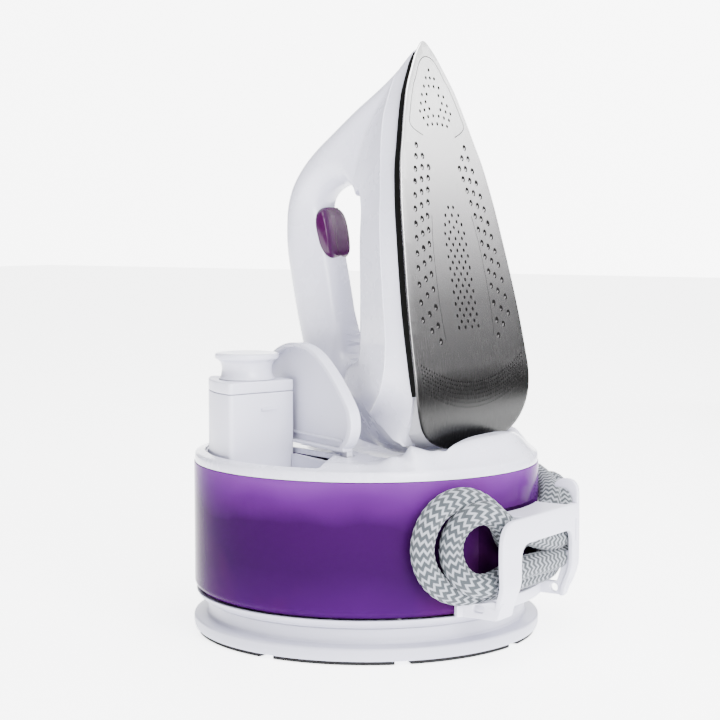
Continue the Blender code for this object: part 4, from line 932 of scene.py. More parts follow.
def body_half(points, outer_line, opening, heel_line):
    """Half-width of the iron's body at side-view points (along, away from the soleplate)."""
    l, h = points[:, 0], points[:, 1]
    # The flank is a leaning plane above the crease, the skirt runs from the crease down to the rim.
    plane = table(FLANK, l) - FLANK_SLOPE * (h - CREASE_AT)
    rim_h = table([*BODY_RIM, BODY_HEEL[-1], BODY_OUT[0]], l)
    crease_h = table(CREASE, l)
    crease_x = table(FLANK, l) - FLANK_SLOPE * (crease_h - CREASE_AT)
    up = np.clip((h - rim_h) / np.maximum(crease_h - rim_h, 0.5), 0, 1)
    skirt = table(RIM_HALF, l) * (1 - up) + crease_x * up + 0.5 * np.sin(pi * up)
    lower = np.where(h < crease_h, np.minimum(skirt, plane + 4), plane)
    base = np.maximum(lower, np.minimum(table(NOSE_HALF, l), np.where(h < crease_h, lower, 99)))
    # The heel end turns in round a vertical edge.
    edge_l = np.where(h < 46.6, 18.8 + (h - 23.0) / 1.2, 38.5 + 0.8 * (h - 46.6))
    edge_l = np.maximum(edge_l, 18.8)
    bottom_l = np.interp(h, [p[1] for p in heel_line[::-1]], [p[0] for p in heel_line[::-1]])
    share = np.clip((l - bottom_l) / np.maximum(edge_l - bottom_l, 1.0), 0, 1)
    at_edge = table(FLANK, edge_l) - FLANK_SLOPE * (h - CREASE_AT)
    end = np.maximum(at_edge, 15.0) * np.sqrt(share)
    base = np.where(l < edge_l, np.minimum(np.maximum(base, end), end), base)
    # The handle and its arms are rounded towards the outline and the opening.
    d_out = reach(points, outer_line)
    small = table([(60, 14.0), (185, 14.0), (200, 12.0), (215, 8.0), (230, 4.0), (240, 1.5)], l)
    small = np.minimum(small, GRIP_ROUND)
    round_out = np.sqrt(np.clip(1 - (1 - np.clip(d_out / small, 0, 1)) ** 2, 0, 1))
    hollow = inside(points, opening)
    d_in = reach(points, opening, True)
    soft = np.maximum(ramp(h, 60.0, 76.0), ramp(h, 50.0, 62.0) * ramp(l, 150.0, 164.0))
    soft = EDGE_ROUND + (GRIP_ROUND - EDGE_ROUND) * soft
    loss = np.minimum(soft, base) * (1 - np.sqrt(np.clip(1 - (1 - np.clip(d_in / soft, 0, 1)) ** 2, 0, 1)))
    arms = np.where(hollow, -1.0, base * round_out - loss)
    # The deck below the handle is a low dome between its two edges.
    edge_h, crown = table(DECK_EDGE, l), table(DECK_CROWN, l)
    edge_x = table(FLANK, l) - FLANK_SLOPE * (edge_h - CREASE_AT)
    dome = edge_x * np.sqrt(np.clip(1 - (h - edge_h) / np.maximum(crown - edge_h, 0.5), 0, 1))
    deck = np.where(h < edge_h, lower, np.where(h < crown, dome, 0.0))
    deck = np.where((l > 66) & (l < 186), deck * np.where(d_out < 1.5, d_out / 1.5, 1.0), 0.0)
    return np.maximum(np.maximum(arms, deck), 0.0)


def make_body():
    """The iron's body: one field of points in side view, mirrored to both sides and split at the crease."""
    top = curve_through(BODY_OUT, 1.3)
    heel = curve_through([BODY_OUT[-1], *BODY_HEEL], 1.3)[1:]
    rim = curve_through([BODY_HEEL[-1], *BODY_RIM, BODY_OUT[0]], 1.5)[1:-1]
    outer = np.vstack([top, heel, rim])
    edge = curve_through(OPENING, 1.2)
    ls = np.arange(edge[-1][0] + 1.2, edge[0][0] - 0.6, 1.3)
    crown = np.stack([ls, table(DECK_CROWN, ls)], 1)
    hole = np.vstack([edge, crown])
    full_opening = np.vstack([edge, [(68.5, 30.0), (177.0, 30.0)]])
    ls = np.arange(24.0, 231.0, 1.5)
    crease = np.vstack([[(18.6, 22.8)], np.stack([ls, table(CREASE, ls)], 1)])
    crease = crease[inside(crease, outer)]
    ls = np.arange(71.0, 176.0, 1.5)
    deck_edge = np.stack([ls, table(DECK_EDGE, ls)], 1)
    foot = curve_through([(176.2, 50.0), (176.6, 46.0), (177.0, 40.0)], 0.8)
    wide = (0.15, 0.5, 1.0, 1.8, 2.9, 4.2, 5.8)
    rings = [offset_line(outer, s, True) for s in wide]
    rings += [offset_line(hole, -s, True) for s in (0.15, 0.5, 1.0, 1.7, 2.5, 3.6, 5.0)]
    rings += [offset_line(hole, s, True) for s in wide] + [offset_line(outer, -s, True) for s in wide]
    rings += [offset_line(crease, s) for s in (-0.5, 0.5)] + [offset_line(foot, s) for s in (-0.3, 0.3)]
    points, tris = fill(outer, [hole], [crease, deck_edge], rings, 0.42, 1.7)
    half = body_half(points, top, full_opening, np.vstack([[BODY_OUT[-1]], heel]))
    on_rim = reach(points, np.vstack([heel[-1:], rim, top[:1]])) < 1e-4
    ridge = reach(points, crease)
    half = half + 0.30 * np.clip(1 - ridge / 0.5, 0, 1) * (half > 3)
    on_heel = (reach(points, np.vstack([top[-1:], heel[:-2]])) < 1e-4) | (reach(points, top[1:]) < 1e-4)
    half = np.where(on_heel & ~on_rim, 0.0, half)
    middle = points[tris].mean(axis=1)
    is_skirt = (middle[:, 1] < table(CREASE, middle[:, 0])) & (middle[:, 0] > 18.4)
    near, far = (to_iron(side * half, points[:, 0], points[:, 1]) for side in (1, -1))
    for chosen, name, node in ((is_skirt, "iron_skirt", "iron_shell"),
                               (~is_skirt, "iron_upper_body", "handle")):
        obj = two_sided(name, tris[chosen], near, far, 3e-5)
        piece(obj, name, "iron", node, body_white, 24)


def make_under_sole():
    """Heat shield band behind the soleplate, coloured near black as painted shade for the gap there, and the
    light heel column below its end.
    """
    ring = sole_outline(4.3, 2.0)
    ring = ring[ring[:, 1] > 43.0]
    shield = plate("shield", ring, 1.25, 7.5, None, (), 0.3, 2)
    for v in shield.data.vertices:
        v.co = Vector(to_iron(v.co.x, v.co.y, v.co.z))
    shield.data.update()
    piece(shield, "heat_shield_band", "iron", "heat_shield", gap_painted_shade)
    verts, rings = [], []
    for l, w in [*[row for row in SOLE_HALF if 14 < row[0] < 43.5], (44.0, float(table(SOLE_HALF, 44.0)))]:
        low = float(table(SOLE_BACK, l)) + SOLE_THICK - 0.1
        lift = float(np.interp(l, [14, 19, 25, 33, 41, 49], [26, 23, 20.5, 17.0, 13.0, 10.0]))
        half = min(w - 4.4, float(table(RIM_HALF, max(l, 17))) - 1.2)
        section = fillet([(-half, low), (half, low, 0.8), (half - 1.2, lift), (-half + 1.2, lift),
                          (-half, low)], 4)
        rings.append(range(len(verts), len(verts) + len(section)))
        verts += [(x, l, h) for x, h in section]
    faces = [quad for a, b in zip(rings, rings[1:]) for quad in belt(a, b)[:-1]]
    faces += [tuple(rings[0][::-1]), tuple(rings[-1])]
    obj = weld(mesh_object("heel", to_iron(*np.array(verts).T), faces))
    piece(obj, "heel_column", "iron", "heel_cover", grey, 30)


def make_trigger():
    """Glossy saddle trigger: a rounded pad that is wider at its free end, with a shallow waist."""
    rings = []
    outline = [(161.4, 80.6), (160.2, 84.0), (154.0, 85.8), (146.0, 85.8), (137.0, 84.6), (131.6, 82.2),
               (130.0, 79.8), (132.0, 77.4), (139.0, 76.4), (148.0, 76.2), (155.6, 76.8), (160.0, 78.2)]
    ring = curve_through(outline, 1.0, True)
    middle = ring.mean(0)
    for u in np.linspace(-1, 1, 41):
        x = 11.6 * np.sign(u) * (1 - (1 - abs(u)) ** 1.6)
        scale = (1 - (abs(x) / 11.8) ** 3.0) ** 0.5
        dip = 0.4 * cos(pi * x / 12.4)
        points = middle + (ring - middle) * (0.52 + 0.48 * scale)
        rings.append([(x, l, h + dip * (1 if h < middle[1] else 0.2)) for l, h in points])
    count = len(ring)
    verts = [p for r in rings for p in r]
    starts = [range(i * count, (i + 1) * count) for i in range(len(rings))]
    faces = [quad for a, b in zip(starts, starts[1:]) for quad in belt(a, b)]
    for start, flip in ((0, 1), ((len(rings) - 1) * count, -1)):
        centre = len(verts)
        xs = verts[start][0]
        verts.append((xs * 1.012, middle[0], middle[1]))
        for k in range(count):
            faces.append((start + k, start + (k + 1) % count, centre)[::flip])
    obj = weld(mesh_object("trigger_pad", to_iron(*np.array(verts).T), faces))
    stem = [(160.5, 78), (161.5, 85), (159, 88.5), (148, 88.5), (145, 86), (145, 78)]
    stem = plate("stem", stem, -5.8, 5.8, None, (), 0.6)
    for v in stem.data.vertices:
        v.co = Vector(to_iron(v.co.z, v.co.x, v.co.y))
    obj = joined("trigger_pad", obj, stem)
    piece(obj, "trigger_pad", "trigger", "trigger", trigger_mat, 40)


# ---- foot, tub and tank
TANK_R = 0.100
CHAMBER = place_around(0.030, 150, 0)


def make_foot():
    """The foot disc and its eight rubber arcs."""
    rows = [(0.0, 0.0183), (0.0900, 0.0183), (0.0923, 0.0183, 0.0008), (0.0923, 0.0113, 0.0006),
            (0.0932, 0.0100, 0.0004), (0.1005, 0.0093, 0.0016), (0.1005, 0.0050, 0.001),
            (0.0998, 0.0020, 0.0012),
            (0.0910, 0.0020), (0.0900, 0.0012), (0.0, 0.0012)]
    foot = turned("foot", fillet(rows), 200)
    piece(foot, "foot_disc", "base", "foot_plate", painted_shade_white, 30)
    for index in range(8):
        middle = 22.5 + 45 * index
        ring = arc(0.0985, middle - 20, middle + 20, 28) + arc(0.0920, middle + 20, middle - 20, 28)
        ring = round_outline(ring, 0.0012, 3)
        pad = plate("pad", ring, 0.0, 0.0019, None, (), 0.0004)
        piece(pad, f"rubber_pad_{index + 1}", "base", f"rubber_foot_{index + 1}", rubber)


def make_tub():
    """The flared ring below the tank."""
    rows = [(0.0, 0.0215), (0.0950, 0.0215), (0.0968, 0.0240, 0.0004), (0.0992, 0.0240, 0.0009),
            (0.0976, 0.0212, 0.002), (0.0945, 0.0190, 0.002), (0.0936, 0.0187, 0.0004), (0.0, 0.0187)]
    piece(turned("tub", fillet(rows), 200), "tub_ring", "base", "base_tub", painted_shade_white, 30)


def dry_chamber(radius):
    """The well round the boiler, as a cutter."""
    return turned("dry", rectangle_profile(radius, -0.02, 0.14), 96, Matrix.Translation(CHAMBER))


def make_tank():
    """The outer skin less the water, the rack's pocket, the boiler's well and the deck."""
    bottom, top, wall = 0.0243, 0.0980, 0.0025
    outer = fillet([(0.0, top), (TANK_R, top, 0.0003), (TANK_R, bottom + 0.0035, 0.002),
                    (TANK_R - 0.0035, bottom, 0.002), (0.0, bottom)], 6)
    tank = turned("tank", outer, 180)
    tank = combine(tank, plate("pocket", round_outline(rectangle(-0.034, 0.0940, 0.034, 0.12), 0.003),
                               bottom - 0.01, 0.0790))
    inner = fillet([(0.0, top + 0.01), (TANK_R - wall, top + 0.01), (TANK_R - wall, bottom + 0.0055, 0.002),
                    (TANK_R - wall - 0.0025, bottom + 0.003, 0.002), (0.0, bottom + 0.003)], 6)
    water = turned("water", inner, 180)
    water = combine(water, plate("block", rectangle(-0.0365, 0.0915, 0.0365, 0.13), bottom - 0.01, 0.0815))
    water = combine(water, dry_chamber(0.060))
    tank = combine(tank, water)
    tank = combine(tank, dry_chamber(0.058))
    tank = combine(tank, plate("deck", rectangle(-0.055, -0.040, 0.055, 0.0790), 0.0920, 0.12))
    weld(tank, 1e-6)
    piece(tank, "water_tank_shell", "base", "water_tank", tank_plastic(bottom, top), 30)


def tank_plastic(bottom, top):
    """Tinted see-through plastic, pale at the top and deep in the middle, with a warmer cloud inside."""
    n = Nodes("tank_plastic", 0.13)
    parts = n.add("SeparateXYZ", {0: n.place})
    height = n.span(parts.outputs[2], bottom, top, 0.0, 1.0)
    cloud = n.noise(16.0, 2.0, 0.5, n.scaled((1.0, 1.0, 1.6)))
    level = n.math("ADD", height, n.span(cloud, 0.3, 0.7, -0.07, 0.07))
    film = n.ramp(level, [(0.0, (0.033, 0.003, 0.066)), (0.30, (0.022, 0.002, 0.043)),
                          (0.66, (0.025, 0.002, 0.047)), (0.84, (0.066, 0.009, 0.118)),
                          (1.0, (0.115, 0.022, 0.190))])
    warm = n.noise(11.0, 3.0, 0.5)
    n.set("Base Color", n.mix(n.span(warm, 0.56, 0.72, 0.0, 0.45), film, (0.060, 0.006, 0.060)))
    n.even({"Transmission Weight": 0.22, "IOR": 1.10, GLOSS: 0.12})
    n.set("Roughness", n.span(n.noise(30.0), 0.3, 0.7, 0.12, 0.20))
    n.bump(n.noise(40.0, 2.0), 0.00004)
    return n.mat


# ---- cover
LID_AZ = -25.0
LID_HINGE_R = 0.0437
LID_HINGE_Z = 0.1080
LID_N = Vector((cos(radians(LID_AZ)), sin(radians(LID_AZ)), 0.0))
LID_D = Vector((-sin(radians(LID_AZ)), cos(radians(LID_AZ)), 0.0))
LID_FRAME = frame_matrix(LID_N * LID_HINGE_R + Vector((0, 0, LID_HINGE_Z)), LID_D, Vector((0, 0, 1)), LID_N)
LUG_SIDE = 0.049
LUG_HALF = 0.003
PLAN_FRAME = frame_matrix(LID_N * LID_HINGE_R, LID_D, -LID_N, Vector((0, 0, 1)))
CARTRIDGE_AZ = -40.5
NARROW_R = 0.0465
CREST = [(30, 0.0), (38, 0.0), (42.6, 0.0035), (47.6, 0.0045), (49.4, 0.0085), (52.0, 0.0080),
         (57.4, 0.0058), (60.6, 0.0062), (64.8, 0.0076), (69.2, 0.0090), (74, 0.0101), (80, 0.0108),
         (90, 0.0110)]
COVER_Z = 0.1065
CRADLE_Z = 0.0985
CONTROL_R = 0.080
BUTTON_AZ = (-97.0, -113.0)
LENS_AZ = -105.0
# Rise of the cover's rim beside the cradle, by place from front to rear.
RIM_RISE = [(-0.030, 0.0), (0.0, 0.0010), (0.012, 0.0018), (0.022, 0.0019), (0.029, 0.0013),
            (0.0355, 0.0002), (0.043, -0.0003), (0.0486, 0.0004), (0.056, 0.0)]


def cover_height(points):
    """The cover's top: round shoulder, raised wave behind the soleplate, sunk cradle for the heel."""
    x, y = points[:, 0], points[:, 1]
    r = np.hypot(x, y)
    azimuth = np.degrees(np.arctan2(y, x))
    azimuth = np.where(azimuth < -90, azimuth + 360, azimuth)
    off_rear = 90 - np.abs(azimuth - 90)
    z = COVER_Z - 0.0030 * ramp(r, 0.086, 0.0995)
    crest = table(CREST, np.clip(off_rear, 30, 90))
    inner = np.maximum(ramp(y, 0.0745, 0.0785), ramp(r, 0.0775, 0.0840) * ramp(np.abs(x), 0.0365, 0.0430))
    z = z + crest * inner * (1 - ramp(r, 0.0860, 0.1000))
    sunk = ramp(y, -0.030, -0.024) * (1 - ramp(y, 0.0705, 0.0745))
    past = x * LID_N.x + y * LID_N.y - LID_HINGE_R
    sunk = sunk * (1 - ramp(np.abs(x), 0.040, 0.045)) * (1 - ramp(past, -0.0130, -0.0080))
    z = z + np.interp(y, *zip(*RIM_RISE)) * (1 - ramp(np.abs(x), 0.060, 0.085))
    return z + (CRADLE_Z - z) * sunk


def opening_outline():
    """The filling mouth in plan: a straight edge by the lid's hinge and an arc by the rim."""
    outer = 0.0935
    side = radians(43.0)
    edge_reach = 0.0014
    near = (LID_HINGE_R + edge_reach) * 0.93
    rim = [(outer * sin(a), LID_HINGE_R - outer * cos(a)) for a in np.linspace(side, -side, 31)]
    return [(near, -edge_reach), *rim, (-near, -edge_reach)]


def rounding(distance, radius):
    """How far a quarter-round edge drops at a distance from it."""
    into = np.clip(1 - distance / radius, 0, 1)
    return radius * (1 - np.sqrt(np.clip(1 - into ** 2, 0, 1)))


def make_cover():
    """One shell with the filling mouth, the button holes, the cradle and two slots for the lid's lugs."""
    outer = np.array(arc(0.0995, 0, 360, 361)[:-1])
    m = np.array(PLAN_FRAME)
    opening = np.array(round_outline(opening_outline(), 0.004, 5)) @ m[:2, :2].T + m[:2, 3]
    spots = [(az, 0.0066, 40) for az in BUTTON_AZ] + [(LENS_AZ, 0.0020, 20)]
    holes = [opening, *[np.array(circle(*place_around(CONTROL_R, az, 0)[:2], r, n)) for az, r, n in spots]]
    rings = [offset_line(h, s * away, True) for h in [outer, *holes] for away in (0.0004, 0.001, 0.0018)
             for s in (-1, 1)]
    cradle = [(x, y) for y in np.arange(-0.032, 0.0765, 0.0013) for x in np.arange(-0.0465, 0.047, 0.0013)]
    points, tris = fill(outer, holes, (), [*rings, np.array(cradle)], 0.0003, 0.0019)
    edge = np.hypot(points[:, 0], points[:, 1])
    near_hole = np.min([reach(points, h, True) for h in holes], axis=0)
    top = cover_height(points) - rounding(0.0995 - edge, 0.0018) - rounding(near_hole, 0.0008)
    low = np.where(edge > 0.0955, 0.0983, np.maximum(top - 0.0025, 0.0960))
    low = np.minimum(low, top - 0.0004)
    cover = two_sided("cover", tris, np.column_stack([points, top]), np.column_stack([points, low]), 1e-6)
    for side in (-1, 1):
        seat = LID_D * (side * LUG_SIDE) + LID_FRAME.translation
        slot = round_outline(rectangle(-0.0044, -0.0044, 0.0044, 0.0044), 0.001)
        cover = combine(cover, plate("slot", slot, -0.007, 0.02, Matrix.Translation(seat)))
    piece(cover, "cover_shell", "base", "top_cover", body_white, 32)


def make_lid():
    """A flat panel with a raised lip round it, a ridge above the hinge and two hinge lugs."""
    right_side = [(0.0445, 0.0020), (0.0535, 0.0040), (0.0592, 0.0082), (0.0622, 0.0140), (0.0620, 0.0200),
                  (0.0590, 0.0255), (0.0493, 0.0345), (0.0385, 0.0427), (0.0240, 0.0510), (0.0085, 0.0552)]
    fine = curve_through(right_side + [(-x, y) for x, y in reversed(right_side)], 0.0012, True)
    fine[:, 1] = np.maximum(fine[:, 1], 0.0019)
    fine = fine * [0.985, 1.06]
    inner = fine * [0.925, 0.93] + [0, 0.0018]
    lid = plate("lid", fine, -0.0030, -0.0004, LID_FRAME, (), 0.0009)
    lip = plate("lip", fine * 0.999 + [0, 0.00003], -0.0010, 0.0036, LID_FRAME,
                [inner], 0.0006)
    ridge = round_outline([(-0.047, 0.0070), (0.047, 0.0070), (0.046, 0.0084), (-0.046, 0.0084)], 0.0006, 3)
    parts = [lid, lip, plate("ridge", ridge, -0.0008, 0.0008, LID_FRAME, (), 0.0003)]
    section = [(-0.0031, 0.0060), (-0.0031, -0.0031), (0.0005, -0.0031), (0.0005, 0.0060)]
    section = round_outline(section, 0.0014, 4)
    sideways = LID_FRAME @ Matrix(((0, 0, 1, 0), (0, 1, 0, 0), (1, 0, 0, 0), (0, 0, 0, 1)))
    for side in (-1, 1):
        middle = side * LUG_SIDE
        parts.append(plate("lug", section, middle - LUG_HALF, middle + LUG_HALF, sideways, (), 0.0004))
    piece(joined("lid_panel", *parts), "lid_panel", "lid", "lid", white, 32)


# ---- filter cartridge
def cartridge_outline():
    """The wedge in plan: an arc at the rim, two straight sides and a narrow end parallel to the open lid."""
    outer, half, narrow = 0.0915, 0.0290, 0.0100
    span = degrees(atan2(half, outer))
    face = [(x - 0.0012 * abs(y / half) ** 4, y) for x, y in arc(outer, -span, span, 25)]
    slope = (half - narrow) / (outer * cos(radians(span)) - NARROW_R)
    lean = radians(LID_AZ - CARTRIDGE_AZ)
    start = LID_HINGE_R + 0.0027
    inner = []
    for side in (-1, 1):
        x = (start - side * (narrow - slope * NARROW_R) * sin(lean)) / (cos(lean) + side * slope * sin(lean))
        inner.append((x, side * (narrow + slope * (x - NARROW_R))))
    start_arc = fillet([inner[0], (*face[0], 0.0030), face[3]], 6)[1:-1]
    end_arc = fillet([face[-4], (*face[-1], 0.0030), inner[1]], 6)[1:-1]
    back = fillet([face[-1], (*inner[1], 0.002), inner[0]], 4)[1:-1]
    front = fillet([inner[1], (*inner[0], 0.002), face[0]], 4)[1:-1]
    return [*start_arc, *face[4:-4], *end_arc, *back, *front]


def make_cartridge():
    """The filter cartridge: its case with a small ledge, its cap and the waisted knob."""
    top, bottom = 0.1460, 0.0915
    wedge = radial_frame(CARTRIDGE_AZ, 0, 0)
    case = plate("case", cartridge_outline(), bottom, top - 0.0067, wedge, (), 0.0005)
    ledge = plate("ledge", [(0.057, 0.0140), (0.0665, 0.0185), (0.0665, 0.0206), (0.057, 0.0161)],
                  top - 0.0162, top - 0.0150, wedge)
    case = joined("case", case, ledge)
    piece(case, "filter_case", "cartridge", "cartridge_case", white_soft, 30)
    cap = plate("cap", cartridge_outline(), top - 0.0064, top, wedge, (), 0.0009, 4)
    piece(cap, "filter_cap", "cartridge", "cartridge_cap", white_soft, 30)
    rows = [(0.0, top + 0.0146), (0.0120, top + 0.0150, 0.002), (0.0165, top + 0.0152, 0.0012),
            (0.0182, top + 0.0146, 0.0008), (0.0182, top + 0.0120, 0.0008), (0.0152, top + 0.0104, 0.002),
            (0.0140, top + 0.0060, 0.004), (0.0150, top + 0.0016, 0.002), (0.0162, top + 0.0003, 0.0003),
            (0.0, top + 0.0003)]
    at = wedge @ Vector((0.0708, 0, 0))
    knob = turned("knob", fillet(rows, 8), 96, Matrix.Translation((at.x, at.y, 0)))
    piece(knob, "filter_knob", "cartridge", "cartridge_knob", white, 30)


# ---- rack
ARM = 0.0030
RACK_UPRIGHT = frame_matrix(Vector((0, 0.1190, 0)), Vector((1, 0, 0)), Vector((0, 0, 1)), Vector((0, -1, 0)))


def side_wall(x):
    """Plan axes (y, z) on a wall across the rack at x."""
    return frame_matrix(Vector((x, 0, 0)), Vector((0, 1, 0)), Vector((0, 0, 1)), Vector((1, 0, 0)))


def rack_face(low):
    """The upright hook-shaped frame that the hose is wound through, leaning out towards its foot."""
    corners = [(0.0, 0.0773), (-0.0395, 0.0773, 0.006), (-0.0395, 0.0310, 0.009), (-0.0330, low, 0.004),
               (-0.0310, low), (-0.0310, 0.0630, 0.007), (0.0285, 0.0630, 0.009), (0.0285, low, 0.002),
               (0.0450, low, 0.003), (0.0495, 0.0480, 0.012), (0.0495, 0.0773, 0.019), (0.0, 0.0773)]
    outer = fillet(corners, 8)[:-1]
    fine = []
    for p, q in zip(outer, [*outer[1:], outer[0]]):
        n = max(1, int(hypot(q[0] - p[0], q[1] - p[1]) / 0.0022))
        fine += [(p[0] + (q[0] - p[0]) * k / n, p[1] + (q[1] - p[1]) * k / n) for k in range(n)]
    face = plate("face", fine, 0.0, 0.0032, None, (), 0.0009, 4)
    for v in face.data.vertices:
        v.co.z += 0.0055 * float(ramp(0.045 - v.co.y, 0.0, 0.0207))
    face.data.transform(RACK_UPRIGHT)
    return face


def make_rack():
    """The hose rack: a band on the tub, two arms, the wound frame, a shelf and the hook on top."""
    low = 0.0243
    strip = round_outline([*arc(0.1034, 61.5, 117, 40), *arc(0.1003, 117, 61.5, 40)], 0.0006, 2)
    band = plate("band", strip, low, 0.0308, None, (), 0.0006)
    near = [(0.0885, low), (0.1135, low), (0.1165, 0.0340), (0.1100, 0.0345), (0.1000, 0.0322),
            (0.0885, 0.0322)]
    window = round_outline(rectangle(0.0985, 0.0276, 0.1055, 0.0318), 0.002)
    near = round_outline(near, 0.0016, 4)
    near_arm = plate("near_arm", near, -ARM, 0.0, side_wall(0.0460), [window], 0.0005)
    far = [(0.0945, low), (0.1130, low), (0.1165, 0.0330), (0.1165, 0.0500), (0.1130, 0.0500),
           (0.1105, 0.0400),
           (0.1080, 0.0318), (0.0945, 0.0318)]
    far = round_outline(far, 0.0016, 4)
    bore = circle(0.1062, 0.0282, 0.0024, 24)
    far_arm = plate("far_arm", far, -ARM, 0.0, side_wall(-0.0325), [bore], 0.0005)
    rack = combine(combine(band, near_arm, "UNION"), far_arm, "UNION")
    rack = combine(rack, turned("cut", rectangle_profile(0.1003, -0.1, 0.2), 200))
    rack = combine(rack, rack_face(low), "UNION")
    shelf = [(0.0225, 0.1172), (0.0225, 0.0975), *arc(0.1003, 77, 106.5, 20), (-0.0285, 0.1172)]
    shelf = plate("shelf", shelf, 0.0745, 0.0772, None, (), 0.0006)
    rack = combine(rack, shelf, "UNION")
    hook = curve_through([(0.1186, 0.0700), (0.1188, 0.0800), (0.1184, 0.0856), (0.1160, 0.0892),
                          (0.1120, 0.0905),
                          (0.1075, 0.0898), (0.1040, 0.0872), (0.1046, 0.0852), (0.1085, 0.0850),
                          (0.1120, 0.0838),
                          (0.1144, 0.0806), (0.1152, 0.0760), (0.1154, 0.0700)], 0.0009)
    rack = combine(rack, plate("hook", hook, -ARM, 0.0, side_wall(-0.0366), (), 0.0009), "UNION")
    slit = round_outline(rectangle(-0.0348, 0.0560, -0.0340, 0.0690), 0.0004, 3)
    rack = combine(rack, plate("slit", slit, -0.001, 0.0012, RACK_UPRIGHT))
    piece(rack, "hose_bridge", "base", "hose_rack", white_soft, 32)


def make_buttons():
    """Two low button caps with a small window between them."""
    rows = [(0.0, 0.10795), (0.0035, 0.10800, 0.002), (0.0062, 0.1083, 0.0009), (0.0062, 0.1015),
            (0.0, 0.1015)]
    for name, az in zip(("power_button", "eco_button"), BUTTON_AZ):
        cap = turned("cap", fillet(rows, 8), 48, Matrix.Translation(place_around(CONTROL_R, az, 0)))
        piece(cap, name + "_cap", name, name, grey, 30)
    rows = [(0.0, 0.1072), (0.0018, 0.1069, 0.0012), (0.0018, 0.1000), (0.0, 0.1000)]
    dome = turned("dome", fillet(rows, 8), 32, Matrix.Translation(place_around(CONTROL_R, LENS_AZ, 0)))
    piece(dome, "status_window", "base", "status_lens", lens, 30)


# CAD pieces whose shape stays, by the material they get.
INNER_LOOKS = ((white_soft, ("filling_well",)), (alloy, ("boiler", "steam_chamber", "thermostat")),
               (grey, ("boiler_stand",)), (heater, ("heater_band",)), (board, ("control_board",)),
               (dark, ("pump", "power_switch", "eco_switch", "steam_switch")),
               (silicone, ("pump_tube", "steam_pipe")), (brass, ("steam_valve",)),
               (grain, ("filter_granules",)),
               (steel, ("lid_pin_1", "lid_pin_2", "trigger_pin", "trigger_spring")),
               (steel, [f"tub_screw_{index}" for index in range(1, 5)]))


def finish_inner_nodes():
    """Give each carried-over CAD piece its material."""
    for mat, names in INNER_LOOKS:
        for name in names:
            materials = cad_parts[name].data.materials
            materials.clear()
            materials.append(mat)


make_soleplate()
make_body()
make_under_sole()
make_trigger()
make_foot()
make_tub()
make_tank()
make_cover()
make_lid()
make_cartridge()
make_rack()
make_buttons()
finish_inner_nodes()


# ---- floor, light
FLOOR_GLOW = 3.9
CARD_SIDE = Vector((-0.865, 0.48, 0.0)).normalized()
CARD_ACROSS = Vector((0.48, 0.865, 0.0)).normalized()
CARD_DISTANCE = 1.0
CARD_HALF = 0.9
CARD_HEIGHT = 0.62
# The world's light by direction: way, how far along it the light starts and is full, least and most strength.
BACKDROP = ((-0.83, -0.55, 0.0), 0.88, 0.965, 0.1, 7.0)
BRIGHT_SIDE = ((-0.45, 0.80, 0.40), -0.7, 0.8, 0.15, 2.1)
LIT_POINT = Vector((0, 0, 0.12))
# Name, place, size and power.
SOFT_LIGHTS = (("top_light", (0.2, 0.3, 1.9), (1.6, 1.6), 62.0),
               ("right_light", (0.9, 1.7, 0.9), (0.9, 1.3), 85.0),
               ("left_light", (1.2, -1.6, 0.9), (0.8, 1.2), 1.0))


def make_floor():
    floor = mesh_object("floor", [(-6, -6, 0), (6, -6, 0), (6, 6, 0), (-6, 6, 0)], [(0, 1, 2, 3)])
    floor.location.z = -0.0003
    n = Nodes("floor_paint", 0.6)
    n.set("Base Color", n.ramp(n.noise(3.0), [(0.3, (0.90, 0.90, 0.905)), (0.7, (0.915, 0.915, 0.92))]))
    n.even({"Emission Color": (1.0, 1.0, 1.0, 1.0), "Emission Strength": FLOOR_GLOW})
    floor.data.materials.append(n.mat)


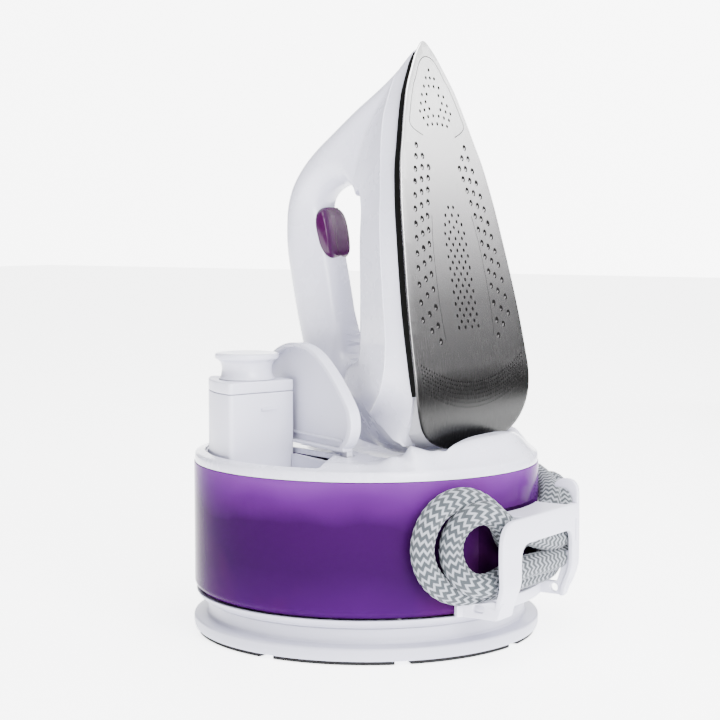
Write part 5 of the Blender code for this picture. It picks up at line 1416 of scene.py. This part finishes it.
def make_card():
    """A card off to the side, dark at its foot and pale at its top, that the camera doesn't see, set where
    the soleplate mirrors it.
    """
    corners = [CARD_SIDE * CARD_DISTANCE + CARD_ACROSS * u + Vector((0, 0, z))
               for u, z in rectangle(-CARD_HALF, 0.0, CARD_HALF, CARD_HEIGHT)]
    card = mesh_object("graded_card", corners, [(0, 1, 2, 3)])
    card.visible_camera = False
    card.visible_shadow = False
    n = Nodes("card_paint", 0.9)
    height = n.span(n.add("SeparateXYZ", {0: n.place}).outputs[2], 0.10, 0.60, 0.0, 1.0)
    n.set("Base Color", n.ramp(height, [(0.0, (0.02, 0.02, 0.02)), (0.25, (0.05, 0.05, 0.05)),
                                        (0.65, (0.45, 0.45, 0.45)), (1.0, (0.9, 0.9, 0.9))]))
    card.data.materials.append(n.mat)


def make_world():
    """A bright backdrop behind the object and a softer glow from one side."""
    world = bpy.data.worlds.new("studio")
    bpy.context.scene.world = world
    world.use_nodes = True
    tree = world.node_tree
    way = tree.nodes.new("ShaderNodeTexCoord")
    both = tree.nodes.new("ShaderNodeMath")
    for index, (direction, *levels) in enumerate((BACKDROP, BRIGHT_SIDE)):
        toward = tree.nodes.new("ShaderNodeVectorMath")
        toward.operation = "DOT_PRODUCT"
        toward.inputs[1].default_value = direction
        tree.links.new(way.outputs["Generated"], toward.inputs[0])
        glow = tree.nodes.new("ShaderNodeMapRange")
        glow.interpolation_type = "SMOOTHSTEP"
        for socket, value in zip(glow.inputs[1:5], levels):
            socket.default_value = value
        tree.links.new(toward.outputs["Value"], glow.inputs[0])
        tree.links.new(glow.outputs[0], both.inputs[index])
    background = tree.nodes["Background"]
    tree.links.new(both.outputs[0], background.inputs["Strength"])
    background.inputs["Color"].default_value = (1.0, 1.0, 1.0, 1.0)


def make_lamps():
    for name, at, size, power in SOFT_LIGHTS:
        data = bpy.data.lights.new(name, "AREA")
        data.shape = "RECTANGLE"
        data.size, data.size_y = size
        data.energy = power
        lamp = bpy.data.objects.new(name, data)
        bpy.context.scene.collection.objects.link(lamp)
        way = LIT_POINT - Vector(at)
        lamp.matrix_world = Matrix.Translation(at) @ way.to_track_quat("-Z", "Y").to_matrix().to_4x4()


make_floor()
make_card()
make_world()
make_lamps()
